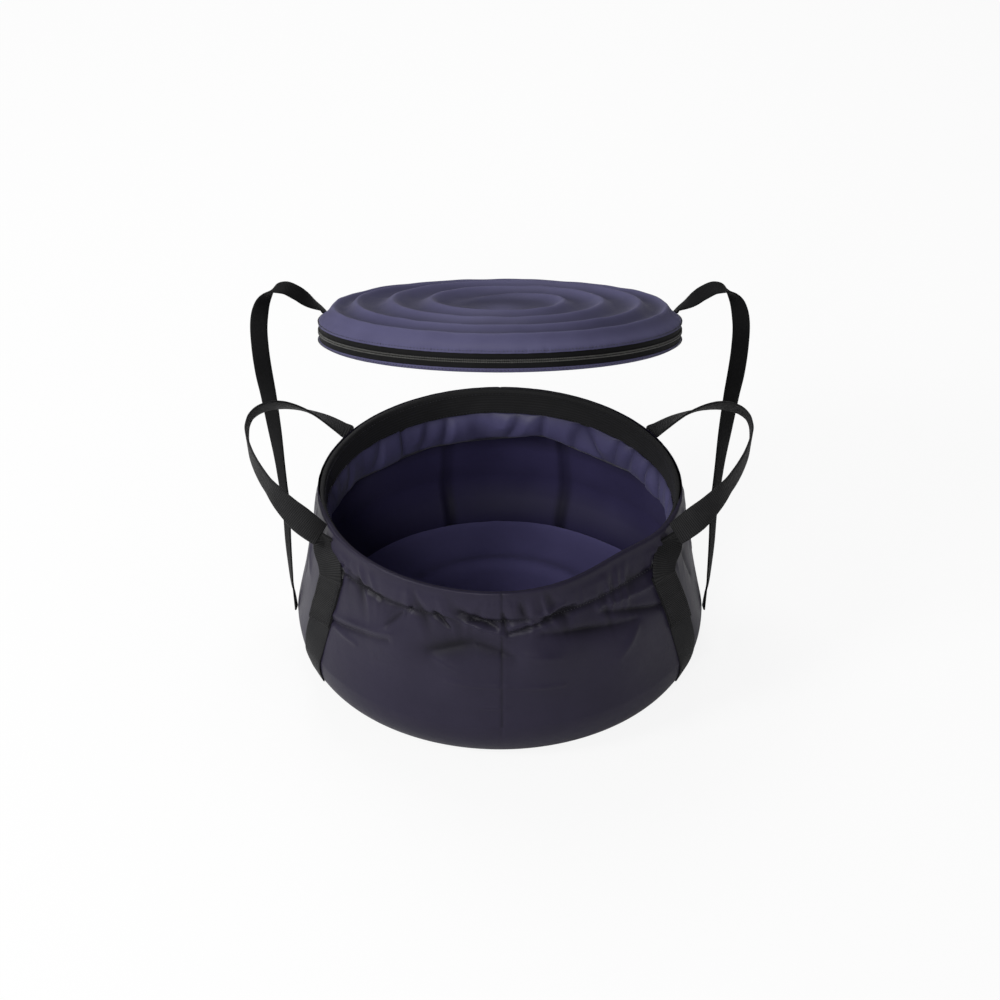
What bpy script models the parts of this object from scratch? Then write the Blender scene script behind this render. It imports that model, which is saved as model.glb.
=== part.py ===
"""Collapsible camp washbasin with a zipped round case on webbing straps.

A bell-shaped cloth wall stands on a moulded foam floor. Its rim holds a spring
hoop, two webbing handles stand out at the sides, and two long webbing tethers
run from the foot of the wall up to a flat round case with a spiral pressed into
its lid. Origin: centre of the underside, +Z up, +Y to the rear, +X to the right.
"""
import math

import bmesh
import bpy
from mathutils import Matrix, Vector

# Cloth wall and floor, metres
BASE_RADIUS = 0.1536
BELLY_BULGE = 0.0214
BELLY_RADIUS = BASE_RADIUS + BELLY_BULGE
BELLY_HEIGHT = 0.0360
RIM_DRAW_IN = 0.0202
RIM_RADIUS = BELLY_RADIUS - RIM_DRAW_IN
WALL_HEIGHT = 0.1580
WALL_CLOTH = 0.0010
HEM_WIDTH = 0.0030
LINER_CLOTH = 0.0008
LINER_SWELL = 0.0450
LINER_STANDOFF = 0.0010
PIECE_GAP = 0.0004
COVER_THICKNESS = 0.0010
PAN_THICKNESS = 0.0080
FLOOR_THICKNESS = 0.0020
FLOOR_RIDGE_RADIUS = 0.0920
FLOOR_RIDGE_WIDTH = 0.0240
FLOOR_RIDGE_HEIGHT = 0.0026

# Rim: spring hoop, webbing band and gathered facing
HOOP_WIRE_RADIUS = 0.0014
BAND_THICKNESS = 0.0014
BAND_DEPTH = 0.0250
FACING_DEPTH = 0.0280
FACING_CLOTH = 0.0010
PUCKER_HEIGHT = 0.0014
PUCKERS = 18

# Handles and the straps under them
HANDLE_WEBBING = 0.0220
HANDLE_THICKNESS = 0.0020
HANDLE_FRONT_ANGLE = math.radians(23.5)
HANDLE_REAR_ANGLE = math.radians(34.0)
HANDLE_REACH = 0.0864
HANDLE_LEAN = 0.0090
HANDLE_PITCH = math.radians(33.0)
HANDLE_STANDOFF = 0.0076
HANDLE_ROOT_HEIGHT = 0.1540
STRAP_FRONT_ANGLE = math.radians(32.0)
STRAP_FOOT_ANGLE = math.radians(24.5)
HANDLE_END_FOOT = 0.0780
HANDLE_END_TURN = 0.1430
HANDLE_END_CLEAR = 0.0030
STRAP_THICKNESS = 0.0014
STRAP_FOOT = 0.0090
STRAP_TOP = 0.1300

# Long tethers
TETHER_WEBBING = 0.0150
TETHER_THICKNESS = 0.0016
TETHER_FLARE = 0.0310
TETHER_REACH = BELLY_RADIUS + TETHER_FLARE
TETHER_BACK = 0.0950
TETHER_TOP = 0.2970
TETHER_FOOT = 0.0300
TETHER_SEAM_ANGLE = math.radians(12.0)
TETHER_SEAM_HEIGHT = 0.0085
TETHER_SEAM_INSET = 0.0014
TETHER_LEAD = 0.0050

# Round case, in its own tilted frame
CASE_INSET = 0.0018
CASE_RADIUS = RIM_RADIUS - CASE_INSET
CASE_BACK = 0.0650
CASE_HEIGHT = 0.2747
CASE_TILT = math.radians(22.5)
ZIP_HALF_HEIGHT = 0.0060
SHELL_THICKNESS = 0.0025
CROWN_HEIGHT = 0.0140
RIDGE_HEIGHT = 0.0050
DISH_DEPTH = 0.0030
LOWER_DEPTH = 0.0042
LOWER_CORNER = 0.0060
TAPE_THICKNESS = 0.0008
TAPE_INSET = 0.0008
TAPE_PARTING = 0.0005
TEETH_DEPTH = 0.0014
TEETH_HEIGHT = 0.0015
TEETH_PARTING = 0.0002
STOP_LENGTH = 0.0040
LINING_CLOTH = 0.0008
SPINE_HALF_ANGLE = math.radians(18.0)
ZIP_END_ANGLE = math.radians(20.0)
SLIDER_LENGTH = 0.0100
SLIDER_HEIGHT = 0.0066
SLIDER_DEPTH = 0.0030
SLIDER_REST_ANGLE = math.radians(24.5)
PULLER_LENGTH = 0.0240
PULLER_HEIGHT = 0.0050
PULLER_THICKNESS = 0.0012

# Shares and counts
WALL_TAPER_SHARE = 1.15
DISH_SHARE = 0.30
# Crest radii of the spiral on the right-hand side, as shares of the case radius
SPIRAL_CREST_SHARES = (0.346, 0.564, 0.770, 0.920)
SPIRAL_LAG_SHARE = 0.35
CROWN_POWER = 6
# Rings of the lid crowd towards its edge by this power
RING_CROWDING_SHARE = 1.35
LINING_ROW_SHARES = (0.0, 0.15, 0.30, 0.60, 0.80, 0.90, 0.96, 0.985)
SEGMENTS = 48
UPPER_ROWS = 7
LOWER_ROWS = 4
LINER_ROWS = 6
SHELL_RINGS = 17
LOOP_STEPS = 18
FLOOR_RIDGE_STEPS = 4
HOOP_SIDES = 8
CORNER_STEPS = 4
SPINE_STEPS = 6
SLIDER_WAIST_SHARES = (0.72, 1.0, 1.0, 0.62)
PULLER_STEPS = 4
PULLER_ROOT_SHARE = 0.7
PULLER_TURN_SHARE = 0.25
FACING_ROWS = 3
PUCKER_STEPS = 4
PUCKER_START_SHARE = 0.25
SHARP_ANGLE = math.radians(35.0)
FULL_TURN = 2 * math.pi
MERGE = 0.00001

# How the webbing turns along a handle's loop, from its front root to its rear root:
# share of the way round, then degrees from lying square to the loop's plane
LOOP_TURNS = (
    (0.00, 80.0), (0.06, 40.0), (0.12, 4.0), (0.22, -26.0), (0.33, -34.0), (0.44, -39.0),
    (0.50, -30.0), (0.56, -14.0), (0.61, 0.0), (0.72, 22.0), (0.83, 47.0), (0.94, 78.0), (1.00, 90.0),
)

# Slack folds of the wall: degrees from the front seam, height, half width in degrees,
# half height and how far the fold stands out
SLACK_FOLDS = (
    (-34.0, 0.100, 17.0, 0.042, 0.0030), (-11.0, 0.085, 15.0, 0.040, 0.0026),
    (15.0, 0.098, 16.0, 0.044, 0.0036), (39.0, 0.084, 15.0, 0.042, 0.0030),
    (150.0, 0.090, 18.0, 0.042, 0.0026), (184.0, 0.100, 18.0, 0.042, 0.0028),
    (214.0, 0.086, 16.0, 0.040, 0.0024),
)

# Tether route from the wall up to the case: how far out, back and up each point
# lies as shares of reach, back and top, then which way the webbing's width lies
TETHER_ROUTE_SHARES = (
    ((0.868, 0.06, 0.149), (-0.05, -0.90, 0.45)),
    ((0.876, 0.15, 0.165), (-0.12, -0.70, 0.70)),
    ((0.887, 0.32, 0.184), (-0.20, -0.50, 0.84)),
    ((0.899, 0.53, 0.222), (-0.34, -0.60, 0.72)),
    ((0.910, 0.79, 0.280), (-0.45, -0.65, 0.60)),
    ((0.925, 0.93, 0.338), (-0.54, -0.82, 0.20)),
    ((0.938, 1.00, 0.405), (-0.65, -0.76, 0.00)),
    ((0.954, 1.00, 0.519), (-0.85, -0.52, 0.00)),
    ((0.972, 1.00, 0.631), (-0.96, -0.28, 0.00)),
    ((0.988, 1.00, 0.714), (-1.00, 0.00, 0.00)),
    ((0.998, 1.00, 0.797), (-1.00, 0.00, 0.00)),
    ((0.999, 1.00, 0.880), (-1.00, 0.00, 0.00)),
    ((0.980, 1.00, 0.950), (-0.90, 0.43, 0.05)),
    ((0.940, 1.00, 0.991), (-0.70, 0.70, 0.15)),
    ((0.888, 1.00, 1.000), (-0.50, 0.85, 0.15)),
    ((0.840, 1.00, 0.984), (-0.50, 0.85, 0.15)),
    ((0.803, 1.01, 0.962), (-0.45, 0.88, 0.00)),
)


def collection(name):
    found = bpy.data.collections.new(name)
    bpy.context.scene.collection.children.link(found)
    return found


def material(name, color, roughness, metallic=0.0):
    made = bpy.data.materials.new(name)
    made.use_nodes = True
    shader = made.node_tree.nodes["Principled BSDF"]
    shader.inputs["Base Color"].default_value = (*color, 1.0)
    shader.inputs["Roughness"].default_value = roughness
    shader.inputs["Metallic"].default_value = metallic
    return made


def ringed(name, rings, finish):
    """Join closed rings of points, given from the top down, into one open sheet."""
    shape = bmesh.new()
    rows = [[shape.verts.new(point) for point in ring] for ring in rings]
    for upper, lower in zip(rows, rows[1:]):
        for i in range(len(upper)):
            j = (i + 1) % len(upper)
            shape.faces.new((upper[i], lower[i], lower[j], upper[j]))
    mesh = bpy.data.meshes.new(name)
    shape.to_mesh(mesh)
    shape.free()
    return place(name, mesh, finish)


def place(name, mesh, finish, parent=None, origin=None):
    """Put a mesh in the scene as a named part, with its origin on a joint axis if given."""
    if origin is not None:
        mesh.transform(Matrix.Translation(-origin))
    mesh.shade_smooth()
    mesh.set_sharp_from_angle(angle=SHARP_ANGLE)
    part = bpy.data.objects.new(name, mesh)
    part.data.materials.append(material(name, *finish))
    PARTS.objects.link(part)
    if origin is not None:
        part.location = origin
    part.parent = parent
    return part


def solidify(part, thickness):
    """Give an open sheet its cloth thickness, on the side away from its normals."""
    wall = part.modifiers.new("thickness", "SOLIDIFY")
    wall.thickness = thickness
    wall.offset = -1.0
    wall.use_even_offset = True
    return part


def turned(name, profile, finish, closed=False, parent=None):
    """Revolve (radius, height) points around Z; the points run down the outer side."""
    mesh = bpy.data.meshes.new(name)
    count = len(profile)
    edges = [(i, i + 1) for i in range(count - 1)]
    if closed:
        edges.append((count - 1, 0))
    mesh.from_pydata([(radius, 0.0, height) for radius, height in profile], edges, [])
    part = place(name, mesh, finish, parent)
    screw = part.modifiers.new("turn", "SCREW")
    screw.axis = "Z"
    screw.angle = FULL_TURN
    screw.steps = SEGMENTS
    screw.render_steps = SEGMENTS
    screw.use_merge_vertices = True
    screw.merge_threshold = MERGE
    screw.use_smooth_shade = True
    return part


def loft(name, sections, finish, parent=None, origin=None):
    """Join like outlines, given in order along a path, into one closed body with flat ends."""
    shape = bmesh.new()
    rings = [[shape.verts.new(point) for point in section] for section in sections]
    for near, far in zip(rings, rings[1:]):
        for i in range(len(near)):
            j = (i + 1) % len(near)
            shape.faces.new((near[i], near[j], far[j], far[i]))
    shape.faces.new(list(reversed(rings[0])))
    shape.faces.new(rings[-1])
    bmesh.ops.recalc_face_normals(shape, faces=shape.faces)
    # Four corners of twisted webbing don't lie in one plane, so each face is cut in two here
    bmesh.ops.triangulate(shape, faces=shape.faces)
    mesh = bpy.data.meshes.new(name)
    shape.to_mesh(mesh)
    shape.free()
    return place(name, mesh, finish, parent, origin)


def polar(radius, angle, height):
    return Vector((radius * math.cos(angle), radius * math.sin(angle), height))


def smooth_step(share):
    share = min(1.0, max(0.0, share))
    return share * share * (3.0 - 2.0 * share)


def wall_radius(height):
    """Outer radius of the bell-shaped wall at a height above its belly."""
    rise = (height - BELLY_HEIGHT) / (WALL_HEIGHT - BELLY_HEIGHT)
    return RIM_RADIUS + (BELLY_RADIUS - RIM_RADIUS) * (1.0 - min(1.0, max(0.0, rise))) ** WALL_TAPER_SHARE


def wall_outline():
    """(radius, height) points down the wall's outer face, from the rim to the rounded foot."""
    top = WALL_HEIGHT - PIECE_GAP
    outline = []
    for i in range(UPPER_ROWS):
        height = top + (BELLY_HEIGHT - top) * i / UPPER_ROWS
        outline.append((wall_radius(height), height))
    for i in range(LOWER_ROWS + 1):
        turn = math.pi / 2 * (1.0 - i / LOWER_ROWS)
        outline.append((BASE_RADIUS + (BELLY_RADIUS - BASE_RADIUS) * math.sin(turn),
                        BELLY_HEIGHT * (1.0 - math.cos(turn))))
    return outline


def slack_lift(angle, height):
    """How far the cloth's slack folds stand out of the wall's plain bell at one place."""
    lift = 0.0
    for from_front, middle, half_width, half_height, depth in SLACK_FOLDS:
        around = math.degrees(angle) + 90.0 - from_front
        around = (around + 180.0) % 360.0 - 180.0
        across = max(0.0, 1.0 - abs(around) / half_width)
        along = max(0.0, 1.0 - abs(height - middle) / half_height)
        lift += depth * smooth_step(across) * smooth_step(along)
    return lift


def wall_face(height):
    """Radius of the wall's outer face at a height, read between the outline's points."""
    outline = wall_outline()
    for (upper_radius, upper), (lower_radius, lower) in zip(outline, outline[1:]):
        if lower <= height <= upper:
            share = (height - lower) / (upper - lower)
            return lower_radius + (upper_radius - lower_radius) * share
    return outline[0][0]


def strap_heights(low, high):
    """Rows of a strap that follows every bend of the wall between two heights."""
    between = [height for radius, height in reversed(wall_outline()) if low < height < high]
    return [low] + between + [high]


def ribbon_section(centre, across, along, width, thickness):
    """Four corners of flat webbing; across is squared up to the way the webbing runs."""
    along = along.normalized()
    across = (across - along * across.dot(along)).normalized()
    face = along.cross(across)
    half = across * width / 2
    lift = face * thickness / 2
    return [centre - half - lift, centre + half - lift, centre + half + lift, centre - half + lift]


def wall_section(angle, height, width, thickness, standoff):
    """Six corners of webbing that lies on the wall, standing off it by a gap."""
    inner = []
    outer = []
    for step in (-0.5, 0.0, 0.5):
        turn = angle + step * width / wall_face(height)
        inner.append(polar(wall_face(height) + standoff, turn, height))
        outer.append(polar(wall_face(height) + standoff + thickness, turn, height))
    return inner + list(reversed(outer))


def side_angle(side, turn):
    """Angle around the basin of a place that is turned from the left or right side to the front."""
    return -turn if side > 0 else math.pi + turn


def strap_angle(side, turn, height):
    """Where a handle's strap lies on the wall; the front ones slant back on their way down."""
    if turn < 0:
        return side_angle(side, turn)
    share = (height - STRAP_FOOT) / (STRAP_TOP - STRAP_FOOT)
    return side_angle(side, STRAP_FOOT_ANGLE + (STRAP_FRONT_ANGLE - STRAP_FOOT_ANGLE) * share)


# Cloth, foam, steel and plastic finishes: colour, roughness, metallic
OUTER_CLOTH = ((0.045, 0.042, 0.070), 0.55)
INNER_CLOTH = ((0.040, 0.036, 0.095), 0.50)
FOAM = ((0.10, 0.10, 0.12), 0.90)
SHELL_CLOTH = ((0.085, 0.083, 0.145), 0.55)
WEBBING = ((0.018, 0.018, 0.019), 0.80)
STEEL = ((0.55, 0.55, 0.56), 0.35, 1.0)
ZIP_PLASTIC = ((0.03, 0.03, 0.032), 0.45)
ZIP_METAL = ((0.06, 0.06, 0.062), 0.40, 0.8)


def make_floor():
    pan_bottom = COVER_THICKNESS + PIECE_GAP
    pan_top = pan_bottom + PAN_THICKNESS
    floor_bottom = pan_top + PIECE_GAP
    floor_top = floor_bottom + FLOOR_THICKNESS
    cover_radius = BASE_RADIUS - HEM_WIDTH - PIECE_GAP
    turned("base_cover", [(0.0, COVER_THICKNESS), (cover_radius, COVER_THICKNESS),
                          (cover_radius, 0.0), (0.0, 0.0)], OUTER_CLOTH)
    turned("base_pan", [(0.0, pan_top), (BASE_RADIUS, pan_top),
                        (BASE_RADIUS, pan_bottom), (0.0, pan_bottom)], FOAM)
    ridge_in = FLOOR_RIDGE_RADIUS - FLOOR_RIDGE_WIDTH / 2
    profile = [(0.0, floor_top)]
    for i in range(FLOOR_RIDGE_STEPS + 1):
        share = i / FLOOR_RIDGE_STEPS
        lift = FLOOR_RIDGE_HEIGHT * math.sin(math.pi * share)
        profile.append((ridge_in + FLOOR_RIDGE_WIDTH * share, floor_top + lift))
    profile += [(BASE_RADIUS, floor_top), (BASE_RADIUS, floor_bottom), (0.0, floor_bottom)]
    turned("floor_liner", profile, INNER_CLOTH)
    return floor_top


def make_walls(floor_top):
    rings = []
    for radius, height in wall_outline() + [(BASE_RADIUS - HEM_WIDTH, 0.0)]:
        ring = []
        for i in range(SEGMENTS):
            angle = FULL_TURN * i / SEGMENTS
            ring.append(polar(radius + slack_lift(angle, height), angle, height))
        rings.append(ring)
    solidify(ringed("outer_wall", rings, OUTER_CLOTH), WALL_CLOTH)

    liner_top = WALL_HEIGHT - BAND_THICKNESS - 3 * PIECE_GAP - 2 * HOOP_WIRE_RADIUS
    liner_bottom = floor_top + PIECE_GAP
    floor_edge = BASE_RADIUS + LINER_CLOTH + PIECE_GAP
    profile = []
    for i in range(LINER_ROWS + 1):
        height = liner_top + (liner_bottom - liner_top) * i / LINER_ROWS
        beside_wall = wall_radius(height) - WALL_CLOTH - LINER_STANDOFF
        swell = smooth_step((height - liner_bottom) / LINER_SWELL)
        profile.append((floor_edge + (beside_wall - floor_edge) * swell, height))
    solidify(turned("liner_wall", profile, INNER_CLOTH), LINER_CLOTH)


def make_rim():
    """The hoop sits under the band's lip, and the gathered facing hangs below the band."""
    lip_radius = RIM_RADIUS - WALL_CLOTH - PIECE_GAP
    hoop_height = WALL_HEIGHT - BAND_THICKNESS - PIECE_GAP - HOOP_WIRE_RADIUS
    hoop_radius = lip_radius - HOOP_WIRE_RADIUS
    band_outer = hoop_radius - HOOP_WIRE_RADIUS - PIECE_GAP
    band_inner = band_outer - BAND_THICKNESS
    band_bottom = WALL_HEIGHT - BAND_DEPTH
    under_lip = WALL_HEIGHT - BAND_THICKNESS
    wire = []
    for i in range(HOOP_SIDES):
        turn = -FULL_TURN * i / HOOP_SIDES
        wire.append((hoop_radius + HOOP_WIRE_RADIUS * math.cos(turn),
                     hoop_height + HOOP_WIRE_RADIUS * math.sin(turn)))
    turned("rim_hoop", wire, STEEL, closed=True)
    turned("rim_band", [(lip_radius, WALL_HEIGHT), (lip_radius, under_lip), (band_outer, under_lip),
                        (band_outer, band_bottom), (band_inner, band_bottom),
                        (band_inner, WALL_HEIGHT)], WEBBING, closed=True)

    steps = PUCKERS * PUCKER_STEPS
    middle = (band_inner + band_outer) / 2
    top = band_bottom - PIECE_GAP
    sections = []
    for row in range(FACING_ROWS + 1):
        share = row / FACING_ROWS
        height = top - FACING_DEPTH * share
        depth = PUCKER_HEIGHT * math.sin(math.pi * min(1.0, share + PUCKER_START_SHARE))
        sections.append([polar(middle + depth * math.sin(PUCKERS * FULL_TURN * i / steps),
                               FULL_TURN * i / steps, height) for i in range(steps)])
    solidify(ringed("rim_facing", sections, INNER_CLOTH), FACING_CLOTH)


def handle_root(side, turn):
    angle = side_angle(side, turn)
    return polar(wall_radius(HANDLE_ROOT_HEIGHT) + HANDLE_STANDOFF, angle, HANDLE_ROOT_HEIGHT)


def handle_frame(side):
    """Roots of one handle, the way its chord runs, and the way the loop stands out."""
    front = handle_root(side, HANDLE_FRONT_ANGLE)
    rear = handle_root(side, -HANDLE_REAR_ANGLE)
    chord = (rear - front).normalized()
    level = Vector((side, 0.0, 0.0))
    level = (level - chord * level.dot(chord)).normalized()
    stand = level * math.cos(HANDLE_PITCH) + Vector((0.0, 0.0, math.sin(HANDLE_PITCH)))
    return front, rear, chord, stand


def loop_turn(share):
    """Angle between the webbing's width and the loop's plane normal, part way round the loop."""
    for (before, first), (after, second) in zip(LOOP_TURNS, LOOP_TURNS[1:]):
        if share <= after:
            return math.radians(first + (second - first) * (share - before) / (after - before))
    return math.radians(LOOP_TURNS[-1][1])


def loop_stations(side):
    """Points along one handle, the way it runs there and the way its width lies."""
    front, rear, chord, stand = handle_frame(side)
    middle = (front + rear) / 2
    half_span = (rear - front).length / 2
    normal = chord.cross(stand).normalized()
    if normal.z < 0:
        normal = -normal
    bulge = stand * HANDLE_REACH + chord * HANDLE_LEAN
    stations = []
    for i in range(LOOP_STEPS + 1):
        share = i / LOOP_STEPS
        turn = math.pi * share
        centre = middle - chord * half_span * math.cos(turn) + bulge * math.sin(turn)
        run = (chord * half_span * math.sin(turn) + bulge * math.cos(turn)).normalized()
        twist = loop_turn(share)
        across = normal * math.cos(twist) - run.cross(normal) * side * math.sin(twist)
        stations.append((centre, run, across))
    return stations, middle


def make_handle(side, label):
    """One half-oval loop of webbing that twists on its way, so it shows its edge twice."""
    stations, middle = loop_stations(side)
    sections = [ribbon_section(centre, across, run, HANDLE_WEBBING, HANDLE_THICKNESS)
                for centre, run, across in stations]
    loft(label + "_handle_loop", sections, WEBBING, origin=middle)


def make_handle_end(side, label, turn):
    """The handle's sewn end: up the wall over the strap, then out to the loop's root."""
    stations, middle = loop_stations(side)
    centre, run, across = stations[0] if turn > 0 else stations[-1]
    if turn < 0:
        run = -run
    standoff = 2 * PIECE_GAP + STRAP_THICKNESS
    sections = [wall_section(strap_angle(side, turn, height), height,
                             HANDLE_WEBBING, HANDLE_THICKNESS, standoff)
                for height in strap_heights(HANDLE_END_FOOT, STRAP_TOP)]
    top_angle = strap_angle(side, turn, STRAP_TOP)
    sections.append(wall_section((top_angle + side_angle(side, turn)) / 2, HANDLE_END_TURN,
                                 HANDLE_WEBBING, HANDLE_THICKNESS, standoff + HANDLE_END_CLEAR))
    end = centre - run * 2 * PIECE_GAP
    half = across * HANDLE_WEBBING / 2
    if (sections[-1][2] - sections[-1][0]).dot(half) < 0:
        half = -half
    thick = run.cross(half).normalized() * HANDLE_THICKNESS / 2
    if thick.dot(sections[-1][4] - sections[-1][1]) < 0:
        thick = -thick
    sections.append([end - half - thick, end - thick, end + half - thick,
                     end + half + thick, end + thick, end - half + thick])
    loft(label + "_handle_end", sections, WEBBING)


def make_wall_strap(side, label, turn):
    sections = [wall_section(strap_angle(side, turn, height), height,
                             HANDLE_WEBBING, STRAP_THICKNESS, PIECE_GAP)
                for height in strap_heights(STRAP_FOOT, STRAP_TOP)]
    loft(label + "_wall_strap", sections, WEBBING)


def make_straps():
    for side, name in ((-1, "left"), (1, "right")):
        make_handle(side, name)
        for turn, end in ((HANDLE_FRONT_ANGLE, "front"), (-HANDLE_REAR_ANGLE, "rear")):
            make_handle_end(side, name + "_" + end, turn)
            make_wall_strap(side, name + "_" + end, turn)


def case_point(radius, angle, height):
    """A place in the tilted case's own frame, as a place in the whole object's frame."""
    tilt = Matrix.Rotation(-CASE_TILT, 3, "X")
    return tilt @ polar(radius, angle, height) + Vector((0.0, CASE_BACK, CASE_HEIGHT))


def make_tether(side, label):
    """Webbing from the foot of the wall, back and up, then over into the case's edge."""
    lie = BELLY_RADIUS + TETHER_THICKNESS / 2
    points = [(Vector((side * lie, 0.0, TETHER_FOOT)), Vector((0.0, -1.0, 0.0)))]
    for (out, back, up), (wide_out, wide_back, wide_up) in TETHER_ROUTE_SHARES:
        points.append((Vector((side * out * TETHER_REACH, back * TETHER_BACK, up * TETHER_TOP)),
                       Vector((side * wide_out, wide_back, wide_up))))
    seam = side_angle(side, -TETHER_SEAM_ANGLE)
    radius = CASE_RADIUS + TETHER_THICKNESS / 2 - TETHER_SEAM_INSET
    end = case_point(radius, seam, TETHER_SEAM_HEIGHT)
    edge = case_point(radius, seam - side * TETHER_SEAM_ANGLE, TETHER_SEAM_HEIGHT)
    lead = case_point(radius + TETHER_LEAD, seam, TETHER_SEAM_HEIGHT + TETHER_LEAD)
    points.append((lead, end - edge))
    points.append((end, end - edge))
    sections = []
    for i, (centre, across) in enumerate(points):
        before = points[max(i - 1, 0)][0]
        after = points[min(i + 1, len(points) - 1)][0]
        sections.append(ribbon_section(centre, across, after - before, TETHER_WEBBING, TETHER_THICKNESS))
    loft(label + "_tether", sections, WEBBING)


def spiral_height(share, turn):
    """Height of the pressed spiral at a share of the radius; turn runs right, front, left, rear."""
    crests = SPIRAL_CREST_SHARES
    wind = turn / FULL_TURN - SPIRAL_LAG_SHARE * (1.0 - math.cos(turn)) / 2
    count = 0
    while count < len(crests) - 2 and share > crests[count + 1]:
        count += 1
    index = count + (share - crests[count]) / (crests[count + 1] - crests[count])
    inner = smooth_step(2.0 * share / crests[0] - 1.0)
    outer = smooth_step((1.0 - share) / (1.0 - crests[-1]))
    return RIDGE_HEIGHT * (0.5 + 0.5 * math.cos(FULL_TURN * (index - wind))) * inner * outer


def crown_height(share):
    dish = DISH_DEPTH * (1.0 - smooth_step(share / DISH_SHARE))
    return ZIP_HALF_HEIGHT + CROWN_HEIGHT * math.sqrt(max(0.0, 1.0 - share ** CROWN_POWER)) - dish


def lid_sheet(name, radius, drop, thickness, finish, parent):
    """A closed sheet in the lid's shape: its top lies a drop below the lid's outer face."""
    shape = bmesh.new()
    faces = []
    for reach, depth in ((radius, drop), (radius - thickness, drop + thickness)):
        rings = []
        for ring in range(1, SHELL_RINGS + 1):
            share = 1.0 - (1.0 - ring / SHELL_RINGS) ** RING_CROWDING_SHARE
            row = []
            for i in range(SEGMENTS):
                angle = FULL_TURN * i / SEGMENTS
                height = crown_height(share) + spiral_height(share, -angle % FULL_TURN) - depth
                row.append(shape.verts.new(polar(reach * share, angle, max(height, ZIP_HALF_HEIGHT))))
            rings.append(row)
        middle = shape.verts.new((0.0, 0.0, crown_height(0.0) - depth))
        for i in range(SEGMENTS):
            shape.faces.new((middle, rings[0][i], rings[0][(i + 1) % SEGMENTS]))
        for inner, outer in zip(rings, rings[1:]):
            for i in range(SEGMENTS):
                j = (i + 1) % SEGMENTS
                shape.faces.new((inner[i], outer[i], outer[j], inner[j]))
        faces.append(rings[-1])
    for i in range(SEGMENTS):
        j = (i + 1) % SEGMENTS
        shape.faces.new((faces[0][i], faces[0][j], faces[1][j], faces[1][i]))
    bmesh.ops.recalc_face_normals(shape, faces=shape.faces)
    mesh = bpy.data.meshes.new(name)
    shape.to_mesh(mesh)
    shape.free()
    return place(name, mesh, finish, parent)


def arc_band(name, inner, outer, low, high, start, end, steps, finish, parent):
    """A short cylinder wall between two angles, closed at both ends."""
    sections = []
    for i in range(steps + 1):
        angle = start + (end - start) * i / steps
        sections.append([polar(inner, angle, low), polar(outer, angle, low),
                         polar(outer, angle, high), polar(inner, angle, high)])
    return loft(name, sections, finish, parent)


def case_empty():
    holder = bpy.data.objects.new("case_frame", None)
    PARTS.objects.link(holder)
    holder.location = (0.0, CASE_BACK, CASE_HEIGHT)
    holder.rotation_euler = (-CASE_TILT, 0.0, 0.0)
    hinge = bpy.data.objects.new("case_hinge", None)
    PARTS.objects.link(hinge)
    hinge.parent = holder
    hinge.location = (0.0, CASE_RADIUS, -ZIP_HALF_HEIGHT)
    return holder, hinge


def hang(part, hinge):
    """Let a piece of the lower half swing on the case's rear hinge."""
    part.parent = hinge
    part.location = -hinge.location


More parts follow.
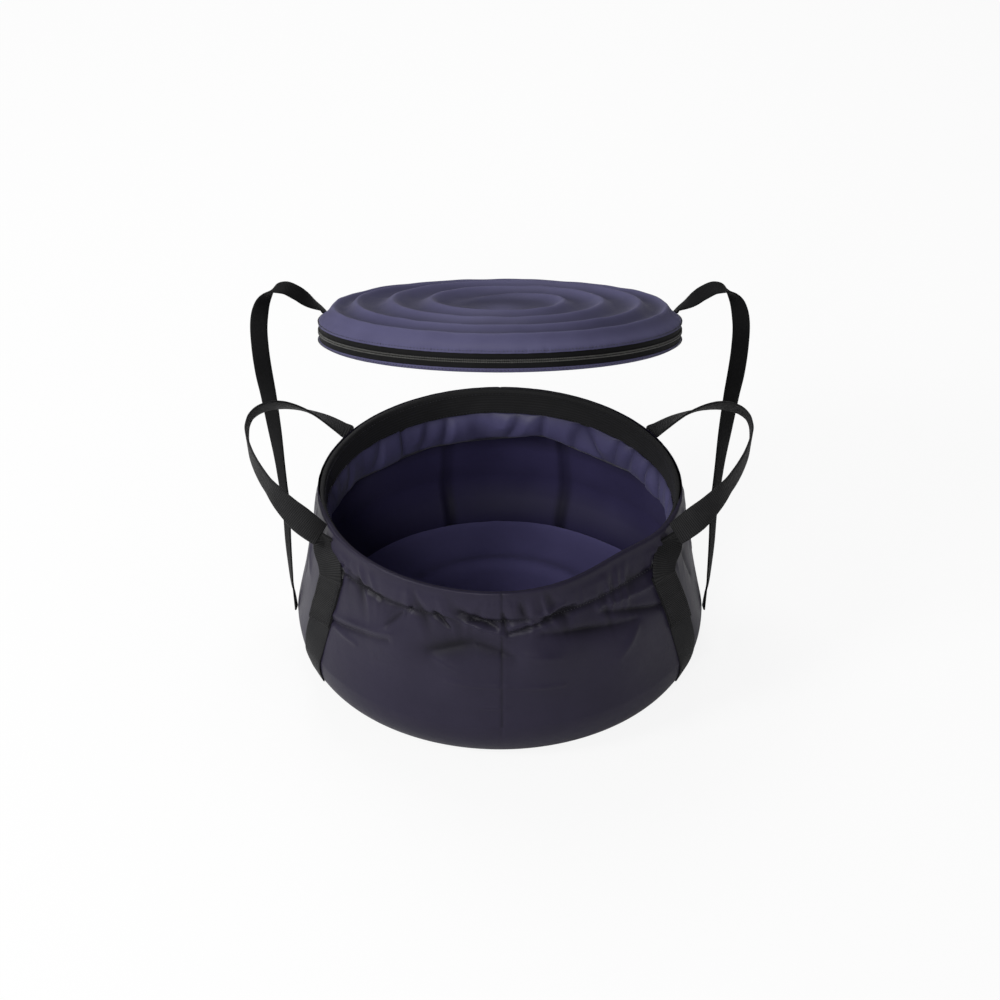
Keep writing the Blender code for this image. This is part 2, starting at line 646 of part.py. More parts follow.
def make_case(holder, hinge):
    lid_sheet("upper_shell", CASE_RADIUS, 0.0, SHELL_THICKNESS, SHELL_CLOTH, holder)
    lining_radius = CASE_RADIUS - SHELL_THICKNESS - PIECE_GAP
    under_lid = SHELL_THICKNESS + 2 * PIECE_GAP
    profile = [(lining_radius * share, max(crown_height(share) - under_lid, ZIP_HALF_HEIGHT + LINING_CLOTH))
               for share in LINING_ROW_SHARES]
    profile += [(radius - LINING_CLOTH, height - LINING_CLOTH) for radius, height in reversed(profile[1:])]
    profile.append((0.0, profile[0][1] - LINING_CLOTH))
    turned("upper_lining", profile, INNER_CLOTH, parent=holder)

    bottom = -ZIP_HALF_HEIGHT - LOWER_DEPTH
    inner_floor = bottom + SHELL_THICKNESS
    inner_wall = CASE_RADIUS - SHELL_THICKNESS
    profile = [(0.0, inner_floor), (inner_wall, inner_floor), (inner_wall, -ZIP_HALF_HEIGHT)]
    for i in range(CORNER_STEPS + 1):
        turn = math.pi / 2 * i / CORNER_STEPS
        profile.append((CASE_RADIUS - LOWER_CORNER * (1.0 - math.cos(turn)),
                        -ZIP_HALF_HEIGHT - LOWER_DEPTH * math.sin(turn)))
    profile.append((0.0, bottom))
    hang(turned("lower_shell", profile, SHELL_CLOTH), hinge)

    inside = CASE_RADIUS - SHELL_THICKNESS - PIECE_GAP
    floor = inner_floor + PIECE_GAP
    hang(turned("lower_lining", [(0.0, floor + LINING_CLOTH), (inside - LOWER_CORNER, floor + LINING_CLOTH),
                                 (inside - LOWER_CORNER, floor), (0.0, floor)], INNER_CLOTH), hinge)

    tape_outer = CASE_RADIUS - TAPE_INSET
    tape_inner = tape_outer - TAPE_THICKNESS
    start = math.pi / 2 + ZIP_END_ANGLE
    end = math.pi / 2 + FULL_TURN - ZIP_END_ANGLE
    tape_far = ZIP_HALF_HEIGHT - PIECE_GAP
    for name, way in (("upper", 1), ("lower", -1)):
        tape = arc_band(name + "_zip_tape", tape_inner, tape_outer, way * TAPE_PARTING, way * tape_far,
                        start, end, SEGMENTS, WEBBING, holder)
        teeth = arc_band(name + "_zip_teeth", tape_outer + PIECE_GAP, tape_outer + PIECE_GAP + TEETH_DEPTH,
                         way * TEETH_PARTING, way * (TEETH_PARTING + TEETH_HEIGHT), start, end, SEGMENTS,
                         ZIP_PLASTIC, holder)
    hang(tape, hinge)
    hang(teeth, hinge)
    spine = arc_band("case_spine", tape_inner, tape_outer, -tape_far, tape_far,
                     math.pi / 2 - SPINE_HALF_ANGLE, math.pi / 2 + SPINE_HALF_ANGLE, SPINE_STEPS, WEBBING, holder)
    hang(spine, hinge)


def make_zip_hardware(holder, hinge):
    """End stops on the lower teeth, the slider on the outside, and its puller trailing along."""
    face = CASE_RADIUS - TAPE_INSET + PIECE_GAP
    stop_turn = STOP_LENGTH / face
    gap_turn = PIECE_GAP / face
    for name, angle in (("left_zip_stop", math.pi / 2 + ZIP_END_ANGLE - gap_turn - stop_turn),
                        ("right_zip_stop", math.pi / 2 - ZIP_END_ANGLE + gap_turn)):
        hang(arc_band(name, face, face + TEETH_DEPTH, -TEETH_PARTING - TEETH_HEIGHT, -TEETH_PARTING,
                      angle, angle + stop_turn, 1, ZIP_METAL, holder), hinge)

    rest = math.pi / 2 + SLIDER_REST_ANGLE
    slider_in = face + TEETH_DEPTH + PIECE_GAP
    turn = SLIDER_LENGTH / slider_in
    sections = []
    for i, share in enumerate(SLIDER_WAIST_SHARES):
        angle = rest + turn * (i / (len(SLIDER_WAIST_SHARES) - 1) - 0.5)
        half = SLIDER_HEIGHT / 2 * share
        sections.append([polar(slider_in, angle, -half), polar(slider_in + SLIDER_DEPTH, angle, -half),
                         polar(slider_in + SLIDER_DEPTH, angle, half), polar(slider_in, angle, half)])
    loft("zip_slider", sections, ZIP_METAL, holder)

    pull_in = slider_in + SLIDER_DEPTH + PIECE_GAP
    root = rest + turn * PULLER_TURN_SHARE
    pivot = polar(pull_in + PULLER_THICKNESS / 2, root, 0.0)
    length = PULLER_LENGTH / pull_in
    sections = []
    for i in range(PULLER_STEPS + 1):
        angle = root + length * i / PULLER_STEPS
        half = PULLER_HEIGHT / 2 * (PULLER_ROOT_SHARE if i == 0 else 1.0)
        sections.append([polar(pull_in, angle, -half), polar(pull_in + PULLER_THICKNESS, angle, -half),
                         polar(pull_in + PULLER_THICKNESS, angle, half), polar(pull_in, angle, half)])
    loft("zip_puller", sections, ZIP_METAL, holder, origin=pivot)


for old in list(bpy.data.objects):
    bpy.data.objects.remove(old)
PARTS = collection("camp_washbasin")
make_walls(make_floor())
make_rim()
make_straps()
for tether_side, tether_name in ((-1, "left"), (1, "right")):
    make_tether(tether_side, tether_name)
CASE_FRAME, CASE_HINGE = case_empty()
make_case(CASE_FRAME, CASE_HINGE)
make_zip_hardware(CASE_FRAME, CASE_HINGE)
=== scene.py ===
"""Dress the collapsible camp washbasin for a studio picture.

The sections follow the object as it is put together: floor, wall, rim, straps,
handles, tethers, then the zipped round case that hangs over the basin as a lid.
"""
import math

import bmesh
import bpy
from mathutils import Matrix, Vector, noise


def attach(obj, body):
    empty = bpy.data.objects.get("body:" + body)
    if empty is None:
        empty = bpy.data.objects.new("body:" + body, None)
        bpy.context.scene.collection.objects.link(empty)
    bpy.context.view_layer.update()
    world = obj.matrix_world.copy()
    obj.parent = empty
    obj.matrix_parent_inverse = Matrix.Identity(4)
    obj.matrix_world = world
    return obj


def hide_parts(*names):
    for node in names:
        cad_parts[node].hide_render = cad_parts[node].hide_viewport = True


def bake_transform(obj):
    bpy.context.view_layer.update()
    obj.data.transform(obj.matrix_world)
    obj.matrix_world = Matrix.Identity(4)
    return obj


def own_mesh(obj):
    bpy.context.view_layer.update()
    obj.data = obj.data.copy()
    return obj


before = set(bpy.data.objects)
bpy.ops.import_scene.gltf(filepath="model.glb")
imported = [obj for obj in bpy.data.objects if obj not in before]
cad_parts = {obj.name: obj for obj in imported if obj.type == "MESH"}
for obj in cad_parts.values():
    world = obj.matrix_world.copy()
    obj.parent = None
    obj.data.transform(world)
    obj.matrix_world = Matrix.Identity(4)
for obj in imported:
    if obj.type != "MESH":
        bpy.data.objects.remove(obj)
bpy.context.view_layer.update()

# Studio. The basin stands on a seamless pale floor under three soft lamps, and is
# seen from the front, 35 degrees above the horizon, from three metres away.
studio = bpy.context.scene
studio.view_settings.view_transform = "Standard"


def place_in_studio(name, data):
    """A new object, put in the scene."""
    thing = bpy.data.objects.new(name, data)
    studio.collection.objects.link(thing)
    return thing


camera = place_in_studio("camera", bpy.data.cameras.new("camera"))
camera.data.sensor_width = 36.0
camera.data.lens = 127.0
camera.location = (0.0, -2.4575, 1.8647)
camera.rotation_euler = (math.radians(55.0), 0.0, 0.0)
studio.camera = camera


def add_node(tree, kind, values=None, **settings):
    """A node with its settings and the values of its inputs."""
    node = tree.nodes.new(kind)
    for title, choice in settings.items():
        setattr(node, title, choice)
    for title, value in (values or {}).items():
        node.inputs[title].default_value = value
    return node


def join(tree, *wires):
    """Links between nodes, each given as source, output, target and input."""
    for source, out, target, into in wires:
        tree.links.new(source.outputs[out], target.inputs[into])


paper = bpy.data.materials.new("studio_paper")
paper.use_nodes = True
paper_tree = paper.node_tree
paper_tree.nodes.clear()
paper_out = add_node(paper_tree, "ShaderNodeOutputMaterial")
paper_mix = add_node(paper_tree, "ShaderNodeMixShader")
paper_matte = add_node(paper_tree, "ShaderNodeBsdfDiffuse", {"Color": (0.86, 0.86, 0.86, 1.0)})
paper_glow = add_node(paper_tree, "ShaderNodeEmission")
paper_rays = add_node(paper_tree, "ShaderNodeLightPath")
paper_share = add_node(paper_tree, "ShaderNodeMath", {1: 0.88}, operation="MULTIPLY")
join(paper_tree, (paper_rays, "Is Camera Ray", paper_share, 0), (paper_share, 0, paper_mix, "Fac"),
     (paper_matte, 0, paper_mix, 1), (paper_glow, 0, paper_mix, 2), (paper_mix, 0, paper_out, "Surface"))

paper_half, paper_level = 9.0, -0.0002
paper_corners = [(x * paper_half, y * paper_half, paper_level) for x, y in ((-1, -1), (1, -1), (1, 1), (-1, 1))]
floor_mesh = bpy.data.meshes.new("studio_floor")
floor_mesh.from_pydata(paper_corners, [], [(0, 1, 2, 3)])
floor_mesh.materials.append(paper)
studio_floor = place_in_studio("studio_floor", floor_mesh)

sky = bpy.data.worlds.new("studio_sky")
studio.world = sky
sky.use_nodes = True
sky_light = sky.node_tree.nodes["Background"]
sky_light.inputs["Color"].default_value = (1.0, 1.0, 1.0, 1.0)
sky_rays = add_node(sky.node_tree, "ShaderNodeLightPath")
sky_level = add_node(sky.node_tree, "ShaderNodeMapRange", {"To Min": 0.22, "To Max": 1.0})
join(sky.node_tree, (sky_rays, "Is Camera Ray", sky_level, "Value"), (sky_level, "Result", sky_light, "Strength"))


def soft_lamp(name, place, target, size, power):
    """A square soft box at a place, turned to a target."""
    lamp = place_in_studio(name, bpy.data.lights.new(name, "AREA"))
    lamp.data.size = size
    lamp.data.energy = power
    lamp.location = place
    lamp.rotation_euler = (Vector(target) - Vector(place)).to_track_quat("-Z", "Y").to_euler()


soft_lamp("key_lamp", (-1.9, -0.9, 1.5), (0.0, 0.0, 0.15), 0.7, 30.0)
soft_lamp("top_lamp", (-0.3, 1.2, 1.9), (0.0, 0.0, 0.2), 0.9, 22.0)
soft_lamp("front_lamp", (-0.45, -2.3, 1.6), (0.0, 0.05, 0.10), 0.6, 25.0)


# Floor of the basin. Coated cloth over a foam board, moulded with one shallow ring that
# stiffens it; a plain coated cover is sewn under it and is what the basin stands on.
def start_finish(name, values):
    """A new material, its tree and its surface, with values set on the surface."""
    finish = bpy.data.materials.new(name)
    finish.use_nodes = True
    skin = finish.node_tree.nodes["Principled BSDF"]
    for title, value in values.items():
        skin.inputs[title].default_value = value
    return finish, finish.node_tree, skin


def coated_cloth(name, colour, deep, rough, sheen, crinkle, thread=0.0007, shine=0.30):
    """Plain-woven, coated cloth: uneven colour, painted shade in folds and grooves from a vertex attribute, crossed
    threads and a crinkle.
    """
    cloth, tree, skin = start_finish(name, {"Sheen Weight": sheen, "Sheen Roughness": 0.45,
                                            "Specular IOR Level": shine})
    where = add_node(tree, "ShaderNodeTexCoord")
    patches = add_node(tree, "ShaderNodeTexNoise", {"Scale": 23.0, "Detail": 5.0})
    tint = add_node(tree, "ShaderNodeMix", {"A": (*deep, 1.0), "B": (*colour, 1.0)}, data_type="RGBA")
    spread = add_node(tree, "ShaderNodeMapRange", {"From Min": 0.32, "From Max": 0.68})
    # Painted shade: a vertex attribute written with the cloth mixes its colour towards a quarter of the deep tone in
    # folds, grooves and hollows.
    pressed = add_node(tree, "ShaderNodeAttribute", attribute_name="fold_depth")
    shade = add_node(tree, "ShaderNodeMix", {"B": (*(0.25 * part for part in deep), 1.0)}, data_type="RGBA")
    gloss = add_node(tree, "ShaderNodeMapRange", {"To Min": rough - 0.07, "To Max": rough + 0.07})
    join(tree, (where, "Object", patches, "Vector"), (patches, "Fac", spread, "Value"),
         (spread, "Result", tint, "Factor"), (pressed, "Fac", shade, "Factor"), (tint, "Result", shade, "A"),
         (shade, "Result", skin, "Base Color"), (patches, "Fac", gloss, "Value"),
         (gloss, "Result", skin, "Roughness"))

    threads = add_node(tree, "ShaderNodeMath", operation="MAXIMUM")
    for i, way in enumerate(("X", "Y")):
        wave = add_node(tree, "ShaderNodeTexWave", {"Scale": 0.314 / thread, "Distortion": 0.4}, bands_direction=way)
        join(tree, (where, "UV", wave, "Vector"), (wave, "Fac", threads, i))
    weave = add_node(tree, "ShaderNodeBump", {"Strength": 0.25, "Distance": thread * 0.12})
    rumple = add_node(tree, "ShaderNodeTexNoise", {"Scale": 75.0, "Detail": 3.0})
    crease = add_node(tree, "ShaderNodeBump", {"Strength": 0.5, "Distance": crinkle})
    join(tree, (threads, 0, weave, "Height"), (where, "Object", rumple, "Vector"), (rumple, "Fac", crease, "Height"),
         (weave, "Normal", crease, "Normal"), (crease, "Normal", skin, "Normal"))
    return cloth


def mesh_of(name, shape):
    """A mesh of a finished shape, which is let go."""
    mesh = bpy.data.meshes.new(name)
    shape.to_mesh(mesh)
    shape.free()
    return mesh


def settled_mesh(piece):
    """A plain mesh of a piece as its modifiers leave it."""
    bpy.context.view_layer.update()
    return bpy.data.meshes.new_from_object(piece.evaluated_get(bpy.context.evaluated_depsgraph_get()))


def cloth_grid(name, rows, columns, point, size, finish, around=True, thickness=0.0, depth=None):
    """Cloth through a grid of points; its UV map holds metres along and up the cloth."""
    shape = bmesh.new()
    pressed = shape.verts.layers.float.new("fold_depth")
    chart = shape.loops.layers.uv.new("cloth")
    wide = columns if around else columns + 1
    knots = [[shape.verts.new(point(i / columns, j / rows)) for i in range(wide)] for j in range(rows + 1)]
    # depth gives each point its amount of painted shade, kept in a vertex attribute that the cloth's material reads.
    if depth is not None:
        for j, row in enumerate(knots):
            for i, knot in enumerate(row):
                knot[pressed] = min(1.0, max(0.0, depth(i / columns, j / rows)))
    for j in range(rows):
        for i in range(columns):
            k = (i + 1) % wide
            face = shape.faces.new((knots[j][i], knots[j][k], knots[j + 1][k], knots[j + 1][i]))
            for loop, (s, t) in zip(face.loops, ((i, j), (i + 1, j), (i + 1, j + 1), (i, j + 1))):
                loop[chart].uv = (s / columns * size[0], t / rows * size[1])
            face.smooth = True
    bmesh.ops.remove_doubles(shape, verts=shape.verts, dist=0.00001)
    thin = mesh_of(name, shape)
    thin.materials.append(finish)
    piece = place_in_studio(name, thin)
    if thickness:
        body = piece.modifiers.new("cloth", "SOLIDIFY")
        body.thickness, body.offset = thickness, -1.0
        thick = settled_mesh(piece)
        piece.modifiers.clear()
        piece.data = thick
        thick.name = name
        bpy.data.meshes.remove(thin)
    return piece


def smooth_step(share):
    """An even rise from 0 to 1, flat at both ends."""
    share = min(1.0, max(0.0, share))
    return share * share * (3.0 - 2.0 * share)


def polar(radius, angle, height):
    """A point at a radius and an angle round the basin's axis, from +X towards +Y."""
    return Vector((radius * math.cos(angle), radius * math.sin(angle), height))


foot_radius, floor_top = 0.1536, 0.0118
ring_radius, ring_half, ring_rise = 0.0920, 0.0140, 0.0032
edge_rise, edge_width = 0.0016, 0.0050
lining_cloth = coated_cloth("purple_lining", (0.040, 0.034, 0.094), (0.033, 0.028, 0.079), 0.58, 0.04, 0.0005,
                            shine=0.14)
floor_cloth = coated_cloth("purple_floor_cloth", (0.098, 0.088, 0.205), (0.084, 0.076, 0.181), 0.55, 0.04, 0.0004,
                           shine=0.16)
# The facing is the lining's cloth; this copy of it is made lighter, as painted light.
facing_cloth = coated_cloth("purple_facing_cloth", (0.088, 0.082, 0.180), (0.076, 0.070, 0.157), 0.42, 0.08,
                            0.0005)


def floor_point(u, v):
    """v runs from the edge, turned up against the wall, to the middle of the floor."""
    angle = 2 * math.pi * u
    radius = (foot_radius - 0.0004) * (1.0 - v)
    ring = ring_rise * math.exp(-((radius - ring_radius) / (ring_half * 0.70)) ** 2)
    edge = math.exp(-(foot_radius - radius) / edge_width)
    ripple = 0.0006 * noise.noise(polar(9.0, angle, radius * 30.0))
    return polar(radius, angle, floor_top + ring + edge_rise * edge + ripple * (0.3 + edge))


inner_floor = cloth_grid("inner_floor", 90, 240, floor_point, (0.96, 0.153), floor_cloth)
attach(inner_floor, "base")
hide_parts("floor_liner")

outer_cloth = coated_cloth("dusk_coated_cloth", (0.0235, 0.0196, 0.0395), (0.0192, 0.0160, 0.0334), 0.42, 0.02,
                           0.0007, shine=0.19)
cover_radius, cover_level = foot_radius - 0.0040, 0.0007


def cover_point(u, v):
    """v runs from the edge of the cover to its middle; its face looks down."""
    angle = 2 * math.pi * u
    radius = cover_radius * (1.0 - v)
    return polar(radius, -angle, cover_level + 0.0001 * noise.noise(Vector((radius * 40.0, 3.0 * angle, 0.0))))


under_cover = cloth_grid("under_cover", 40, 160, cover_point, (0.96, 0.15), outer_cloth, thickness=-0.0004)
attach(under_cover, "base")
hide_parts("base_cover")


def grained_finish(name, grain, dark, light, surface, gloss=None):
    """A finish whose tone, and where two limits are given its gloss, follow a fine grain."""
    finish, tree, skin = start_finish(name, surface)
    kind, out, fineness = grain
    where = add_node(tree, "ShaderNodeTexCoord")
    speck = add_node(tree, kind, fineness)
    tone = add_node(tree, "ShaderNodeValToRGB")
    tone.color_ramp.elements[0].color = (*dark, 1.0)
    tone.color_ramp.elements[1].color = (*light, 1.0)
    join(tree, (where, "Object", speck, "Vector"), (speck, out, tone, "Fac"), (tone, "Color", skin, "Base Color"))
    if gloss:
        polish = add_node(tree, "ShaderNodeMapRange", {"To Min": gloss[0], "To Max": gloss[1]})
        join(tree, (speck, out, polish, "Value"), (polish, "Result", skin, "Roughness"))
    return finish


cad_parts["base_pan"].material_slots[0].material = grained_finish(
    "foam_board", ("ShaderNodeTexVoronoi", "Distance", {"Scale": 900.0}), (0.06, 0.06, 0.07), (0.13, 0.13, 0.15),
    {"Roughness": 0.85})


# Outer wall. One skirt of coated cloth, seamed at the front and rear, wider at the belly
# than at the rim. It is gathered onto the rim band, so it puckers under the stitch line and
# hangs in slack, slanting creases; its foot is turned in under the floor board.
rim_radius, belly_radius, belly_height, rim_height = 0.1548, 0.1750, 0.0360, 0.1580
wall_swell, mean_radius, stitch_height = 1.15, 0.165, 0.1330
# Shares of the wall's run at which its fold over the rim, its wall and its round foot end
fold_end, belly_at, foot_at, fold_drop = 0.05, 0.66, 0.95, 0.0016
# Degrees from the front seam: the two seams, the end of the roll over the lip, and the drag on the rim
seam_places, roll_end, roll_fade, pull_at, pull_depth = (0.6, 180.0), 70.0, 26.0, 44.0, 0.0140
# Slack creases: start and end as degrees from the front seam and height, then width and depth
wall_creases = (
    (-30, 0.128, -35, 0.112, 0.0028, -0.0013), (-20, 0.136, -15, 0.124, 0.0026, -0.0014),
    (-27, 0.137, -29, 0.126, 0.0022, -0.0010), (-60, 0.088, -33, 0.107, 0.0050, 0.0016),
    (-58, 0.082, -34, 0.099, 0.0042, -0.0012), (-17, 0.137, 1, 0.121, 0.0032, 0.0018),
    (-12, 0.139, -1, 0.128, 0.0046, -0.0018), (1, 0.140, 2, 0.122, 0.0022, -0.0016),
    (6, 0.148, 7, 0.138, 0.0022, -0.0010), (2, 0.121, 24, 0.136, 0.0028, -0.0018),
    (2, 0.126, 20, 0.140, 0.0030, 0.0014), (13, 0.119, 45, 0.103, 0.0060, -0.0014),
    (4, 0.105, 17, 0.097, 0.0085, 0.0016), (-21, 0.100, -8, 0.113, 0.0120, -0.0018),
    (-8, 0.113, 4, 0.101, 0.0085, -0.0013), (-19, 0.095, -11, 0.087, 0.0050, 0.0010),
    (-15, 0.077, 18, 0.071, 0.0034, 0.0010), (-7, 0.055, 2, 0.054, 0.0022, 0.0006),
    (32, 0.127, 60, 0.120, 0.0042, 0.0016), (33, 0.122, 60, 0.096, 0.0040, -0.0014),
    (45, 0.101, 36, 0.080, 0.0060, 0.0010), (-61, 0.081, -46, 0.079, 0.0030, 0.0008),
    (-56, 0.140, -38, 0.131, 0.0034, -0.0012), (74, 0.126, 80, 0.088, 0.0060, -0.0016),
    (84, 0.128, 87, 0.100, 0.0050, 0.0014), (-84, 0.126, -78, 0.094, 0.0060, 0.0014),
    (-90, 0.118, -86, 0.080, 0.0050, -0.0012), (148, 0.126, 172, 0.112, 0.0050, 0.0014),
    (176, 0.128, 202, 0.106, 0.0050, -0.0014), (186, 0.110, 214, 0.124, 0.0044, 0.0014),
    (158, 0.100, 186, 0.084, 0.0060, -0.0010), (200, 0.090, 226, 0.100, 0.0060, 0.0010),
    (130, 0.126, 141, 0.100, 0.0050, -0.0014), (104, 0.124, 112, 0.098, 0.0050, 0.0012),
    (236, 0.126, 248, 0.100, 0.0050, 0.0014), (226, 0.126, 222, 0.108, 0.0040, -0.0012),
)
# Broad slack folds: degrees from the front seam, height, half width, half height and depth
slack_folds = (
    (-34.0, 0.100, 17.0, 0.042, 0.0030), (-11.0, 0.085, 15.0, 0.040, 0.0026),
    (15.0, 0.098, 16.0, 0.044, 0.0036), (39.0, 0.084, 15.0, 0.042, 0.0030),
    (150.0, 0.090, 18.0, 0.042, 0.0026), (184.0, 0.100, 18.0, 0.042, 0.0028),
    (214.0, 0.086, 16.0, 0.040, 0.0024),
)


def wall_radius(height):
    """Radius of the smooth wall: a round foot up to the belly, then a long taper to the rim."""
    rise = min(1.0, max(0.0, (height - belly_height) / (rim_height - belly_height)))
    if height >= belly_height:
        return rim_radius + (belly_radius - rim_radius) * (1.0 - rise) ** wall_swell
    turn = math.acos(min(1.0, max(0.0, 1.0 - height / belly_height)))
    return foot_radius + (belly_radius - foot_radius) * math.sin(turn)


def short_way(degrees):
    """The same turn taken the short way round, from -180 to 180."""
    return (degrees + 180.0) % 360.0 - 180.0


def from_front(angle):
    """Degrees round from the front seam, from -90 at the left to 270."""
    degrees = math.degrees(angle) + 90.0
    return (degrees + 90.0) % 360.0 - 90.0


def front_share(angle):
    """1 round the front of the rim, where the outer cloth rolls over the lip, and 0 at the rear."""
    return 1.0 - smooth_step((abs(short_way(from_front(angle))) - roll_end) / roll_fade)


def slack_lift(angle, height):
    """How far the broad slack folds stand out at a place."""
    lift = 0.0
    for middle, level, half_width, half_height, depth in slack_folds:
        around = short_way(from_front(angle) - middle)
        lift += (depth * smooth_step(1.0 - abs(around) / half_width)
                 * smooth_step(1.0 - abs(height - level) / half_height))
    return lift


def crease_lift(angle, height):
    """The tallest ridge and the deepest dent at a place; each crease wavers and fades to its ends."""
    place = from_front(angle)
    ridge, dent = 0.0, 0.0
    for start, low, end, high, width, depth in wall_creases:
        if not min(start, end) - 12.0 < place < max(start, end) + 12.0:
            continue
        reach, rise = math.radians(end - start) * mean_radius, high - low
        aside, up = math.radians(place - start) * mean_radius, height - low
        along = min(1.0, max(0.0, (aside * reach + up * rise) / (reach * reach + rise * rise)))
        away = math.hypot(aside - along * reach, up - along * rise)
        sharp = 1.35 if depth < 0.0 else 1.0
        wander = 1.7 + 0.7 * noise.noise(Vector((place * 0.09, height * 30.0, start * 0.37)))
        fade = 0.35 + 0.65 * math.sin(math.pi * (0.15 + 0.7 * along))
        blunt = math.sqrt((sharp * away / width) ** 2 + 0.03) - 0.17
        lift = depth * sharp * wander * fade * math.exp(-1.5 * blunt)
        ridge, dent = max(ridge, lift), min(dent, lift)
    return ridge + dent


def gather_lift(angle, height):
    """Pleats run from the stitch line: short and sharp above it, fading out below it."""
    around = polar(1.0, angle, 0.0)
    slack = 0.35 + 1.5 * abs(noise.noise(around * 3.1 + Vector((4.0, 2.0, 0.0))))
    lean = 9.0 * (height - stitch_height) * noise.noise(around * 5.0)
    turned = polar(1.0, angle + lean, 0.0)
    pleat = 1.0 - 2.6 * abs(noise.noise(turned * 11.0 + Vector((0.0, 0.0, height * 14.0))))
    fine = noise.noise(turned * 24.0 + Vector((0.0, 0.0, height * 30.0)))
    if height < stitch_height:
        fade = math.exp(-(stitch_height - height) / 0.0120)
    else:
        fade = 0.45 + 0.55 * math.exp(-(height - stitch_height) / 0.0090)
    seam = math.exp(-((height - stitch_height) / 0.0024) ** 2)
    puff = math.sin(math.pi * min(1.0, max(0.0, (height - stitch_height) / 0.025))) ** 0.7
    stand = fade * slack * (0.0026 * (pleat - 0.5) + 0.0012 * fine) * (1.0 - 0.85 * seam)
    return stand - 0.0014 * seam + 0.0010 * puff


def rim_pull(angle, height):
    """How far the rim is drawn in at the front right, where the handle drags on it."""
    place = from_front(angle)
    share = smooth_step((height - 0.085) / 0.075)
    spread = 25.0 if place < pull_at else 19.0
    return pull_depth * share * math.exp(-((place - pull_at) / spread) ** 2)


def wall_drop(v):
    """Height of the wall between the rim's fold and the belly."""
    drop = (belly_height + fold_drop - rim_height) * (v - fold_end) / (belly_at - fold_end)
    return rim_height - fold_drop + drop


def wall_point(u, v):
    """v runs from the rim's fold down the wall and round its foot to the hem under the floor."""
    angle = 2 * math.pi * u - math.pi / 2
    over = max(0.0, (fold_end - v) / fold_end)
    if v < fold_end:
        height = rim_height - fold_drop
    elif v < belly_at:
        height = wall_drop(v)
    elif v < foot_at:
        height = belly_height * (1.0 - math.sin(math.pi / 2 * (v - belly_at) / (foot_at - belly_at)))
    else:
        height = 0.0
    radius = wall_radius(height)
    if v >= foot_at:
        radius -= 0.0030 * (v - foot_at) / 0.05
    free = smooth_step((height - 0.004) / 0.030)
    sag = 0.0010 * noise.noise(polar(2.6, angle, height * 22.0))
    lift = free * (crease_lift(angle, height) + gather_lift(angle, height) + sag + slack_lift(angle, height))
    lift = max(lift, -0.0040) * (1.0 - 0.85 * smooth_step((height - 0.146) / 0.008))
    place = from_front(angle)
    for seam in seam_places:
        off = abs(place - seam) * math.radians(radius)
        lift -= 0.0007 * free * math.exp(-(off / 0.0011) ** 2)
    lip = front_share(angle)
    bend = math.pi / 2 * min(1.0, over / 0.5)
    inward = lip * (0.0016 * (1.0 - math.cos(bend)) + 0.0030 * max(0.0, over - 0.5) / 0.5)
    height += over * 0.0012 * (1.0 - lip) + lip * (0.0022 * math.sin(bend) - 0.0012 * max(0.0, over - 0.5))
    return polar(radius + lift * (1.0 - 0.6 * lip * over) - inward - rim_pull(angle, height), angle, height)


def wall_painted_shade(u, v):
    """Painted shade: dark in the dents of pleats and creases, a painted shadow band under the rim, and darker along
    the front seam.
    """
    angle = 2 * math.pi * u - math.pi / 2
    if not 0.02 < v < belly_at:
        return 0.0
    height = wall_drop(v)
    pleats = gather_lift(angle, height) * smooth_step((0.156 - height) / 0.006)
    shadow = 0.25 * math.exp(-((height - 0.140) / 0.016) ** 2)
    seam_arc = (from_front(angle) - seam_places[0]) * 0.0029
    seam = 0.5 * math.exp(-(seam_arc / 0.0010) ** 2)
    return -crease_lift(angle, height) / 0.0038 - pleats / 0.0024 + shadow + seam


outer_skirt = cloth_grid("outer_skirt", 136, 700, wall_point, (1.08, 0.19), outer_cloth, depth=wall_painted_shade)
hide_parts("outer_wall")
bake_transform(outer_skirt)


# Inner lining of the wall. Thinner purple cloth, cut as panels with upright seams, welded to
# the floor at the bottom and caught under the rim band at the top, so it holds the water.
lining_seams = (107.0, 69.5, 252.0, 288.0, 0.0, 180.0)
lining_top, lining_foot, lining_gap = 0.1480, 0.0124, 0.0020


def lining_radius(height):
    """The lining leaves the floor's edge and comes close to the outer wall above it."""
    swell = smooth_step((height - 0.0122) / 0.045)
    beside_wall = wall_radius(height) - lining_gap
    return foot_radius + 0.0010 + (beside_wall - foot_radius - 0.0010) * swell


def lining_point(u, v):
    """v runs from under the rim band down to the weld on the floor."""
    angle = 2 * math.pi * u
    height = lining_top + (lining_foot - lining_top) * v
    radius = lining_radius(height) - 0.0010
    seam = 0.0
    for degrees in lining_seams:
        off = math.radians(short_way(math.degrees(angle) - degrees)) * radius
        seam -= 0.0014 * math.exp(-(off / 0.0045) ** 2)
        seam += 0.0008 * math.exp(-((off - 0.0052) / 0.0016) ** 2)
    turned = polar(1.0, angle, 0.0)
    swag = noise.noise(turned * 3.4 + Vector((0.0, 0.0, height * 16.0)))
    fold = max(0.0, 1.0 - 3.0 * abs(noise.noise(turned * 2.2 + Vector((5.0, 0.0, height * 11.0)))))
    slack = math.sin(math.pi * min(1.0, max(0.0, (height - 0.012) / 0.13)))
    hidden = 0.0030 * smooth_step((height - 0.086) / 0.020)
    inward = slack * (0.0016 * abs(swag) + 0.0009 * fold) + hidden + rim_pull(angle, height)
    return polar(radius - seam - inward, angle, height)


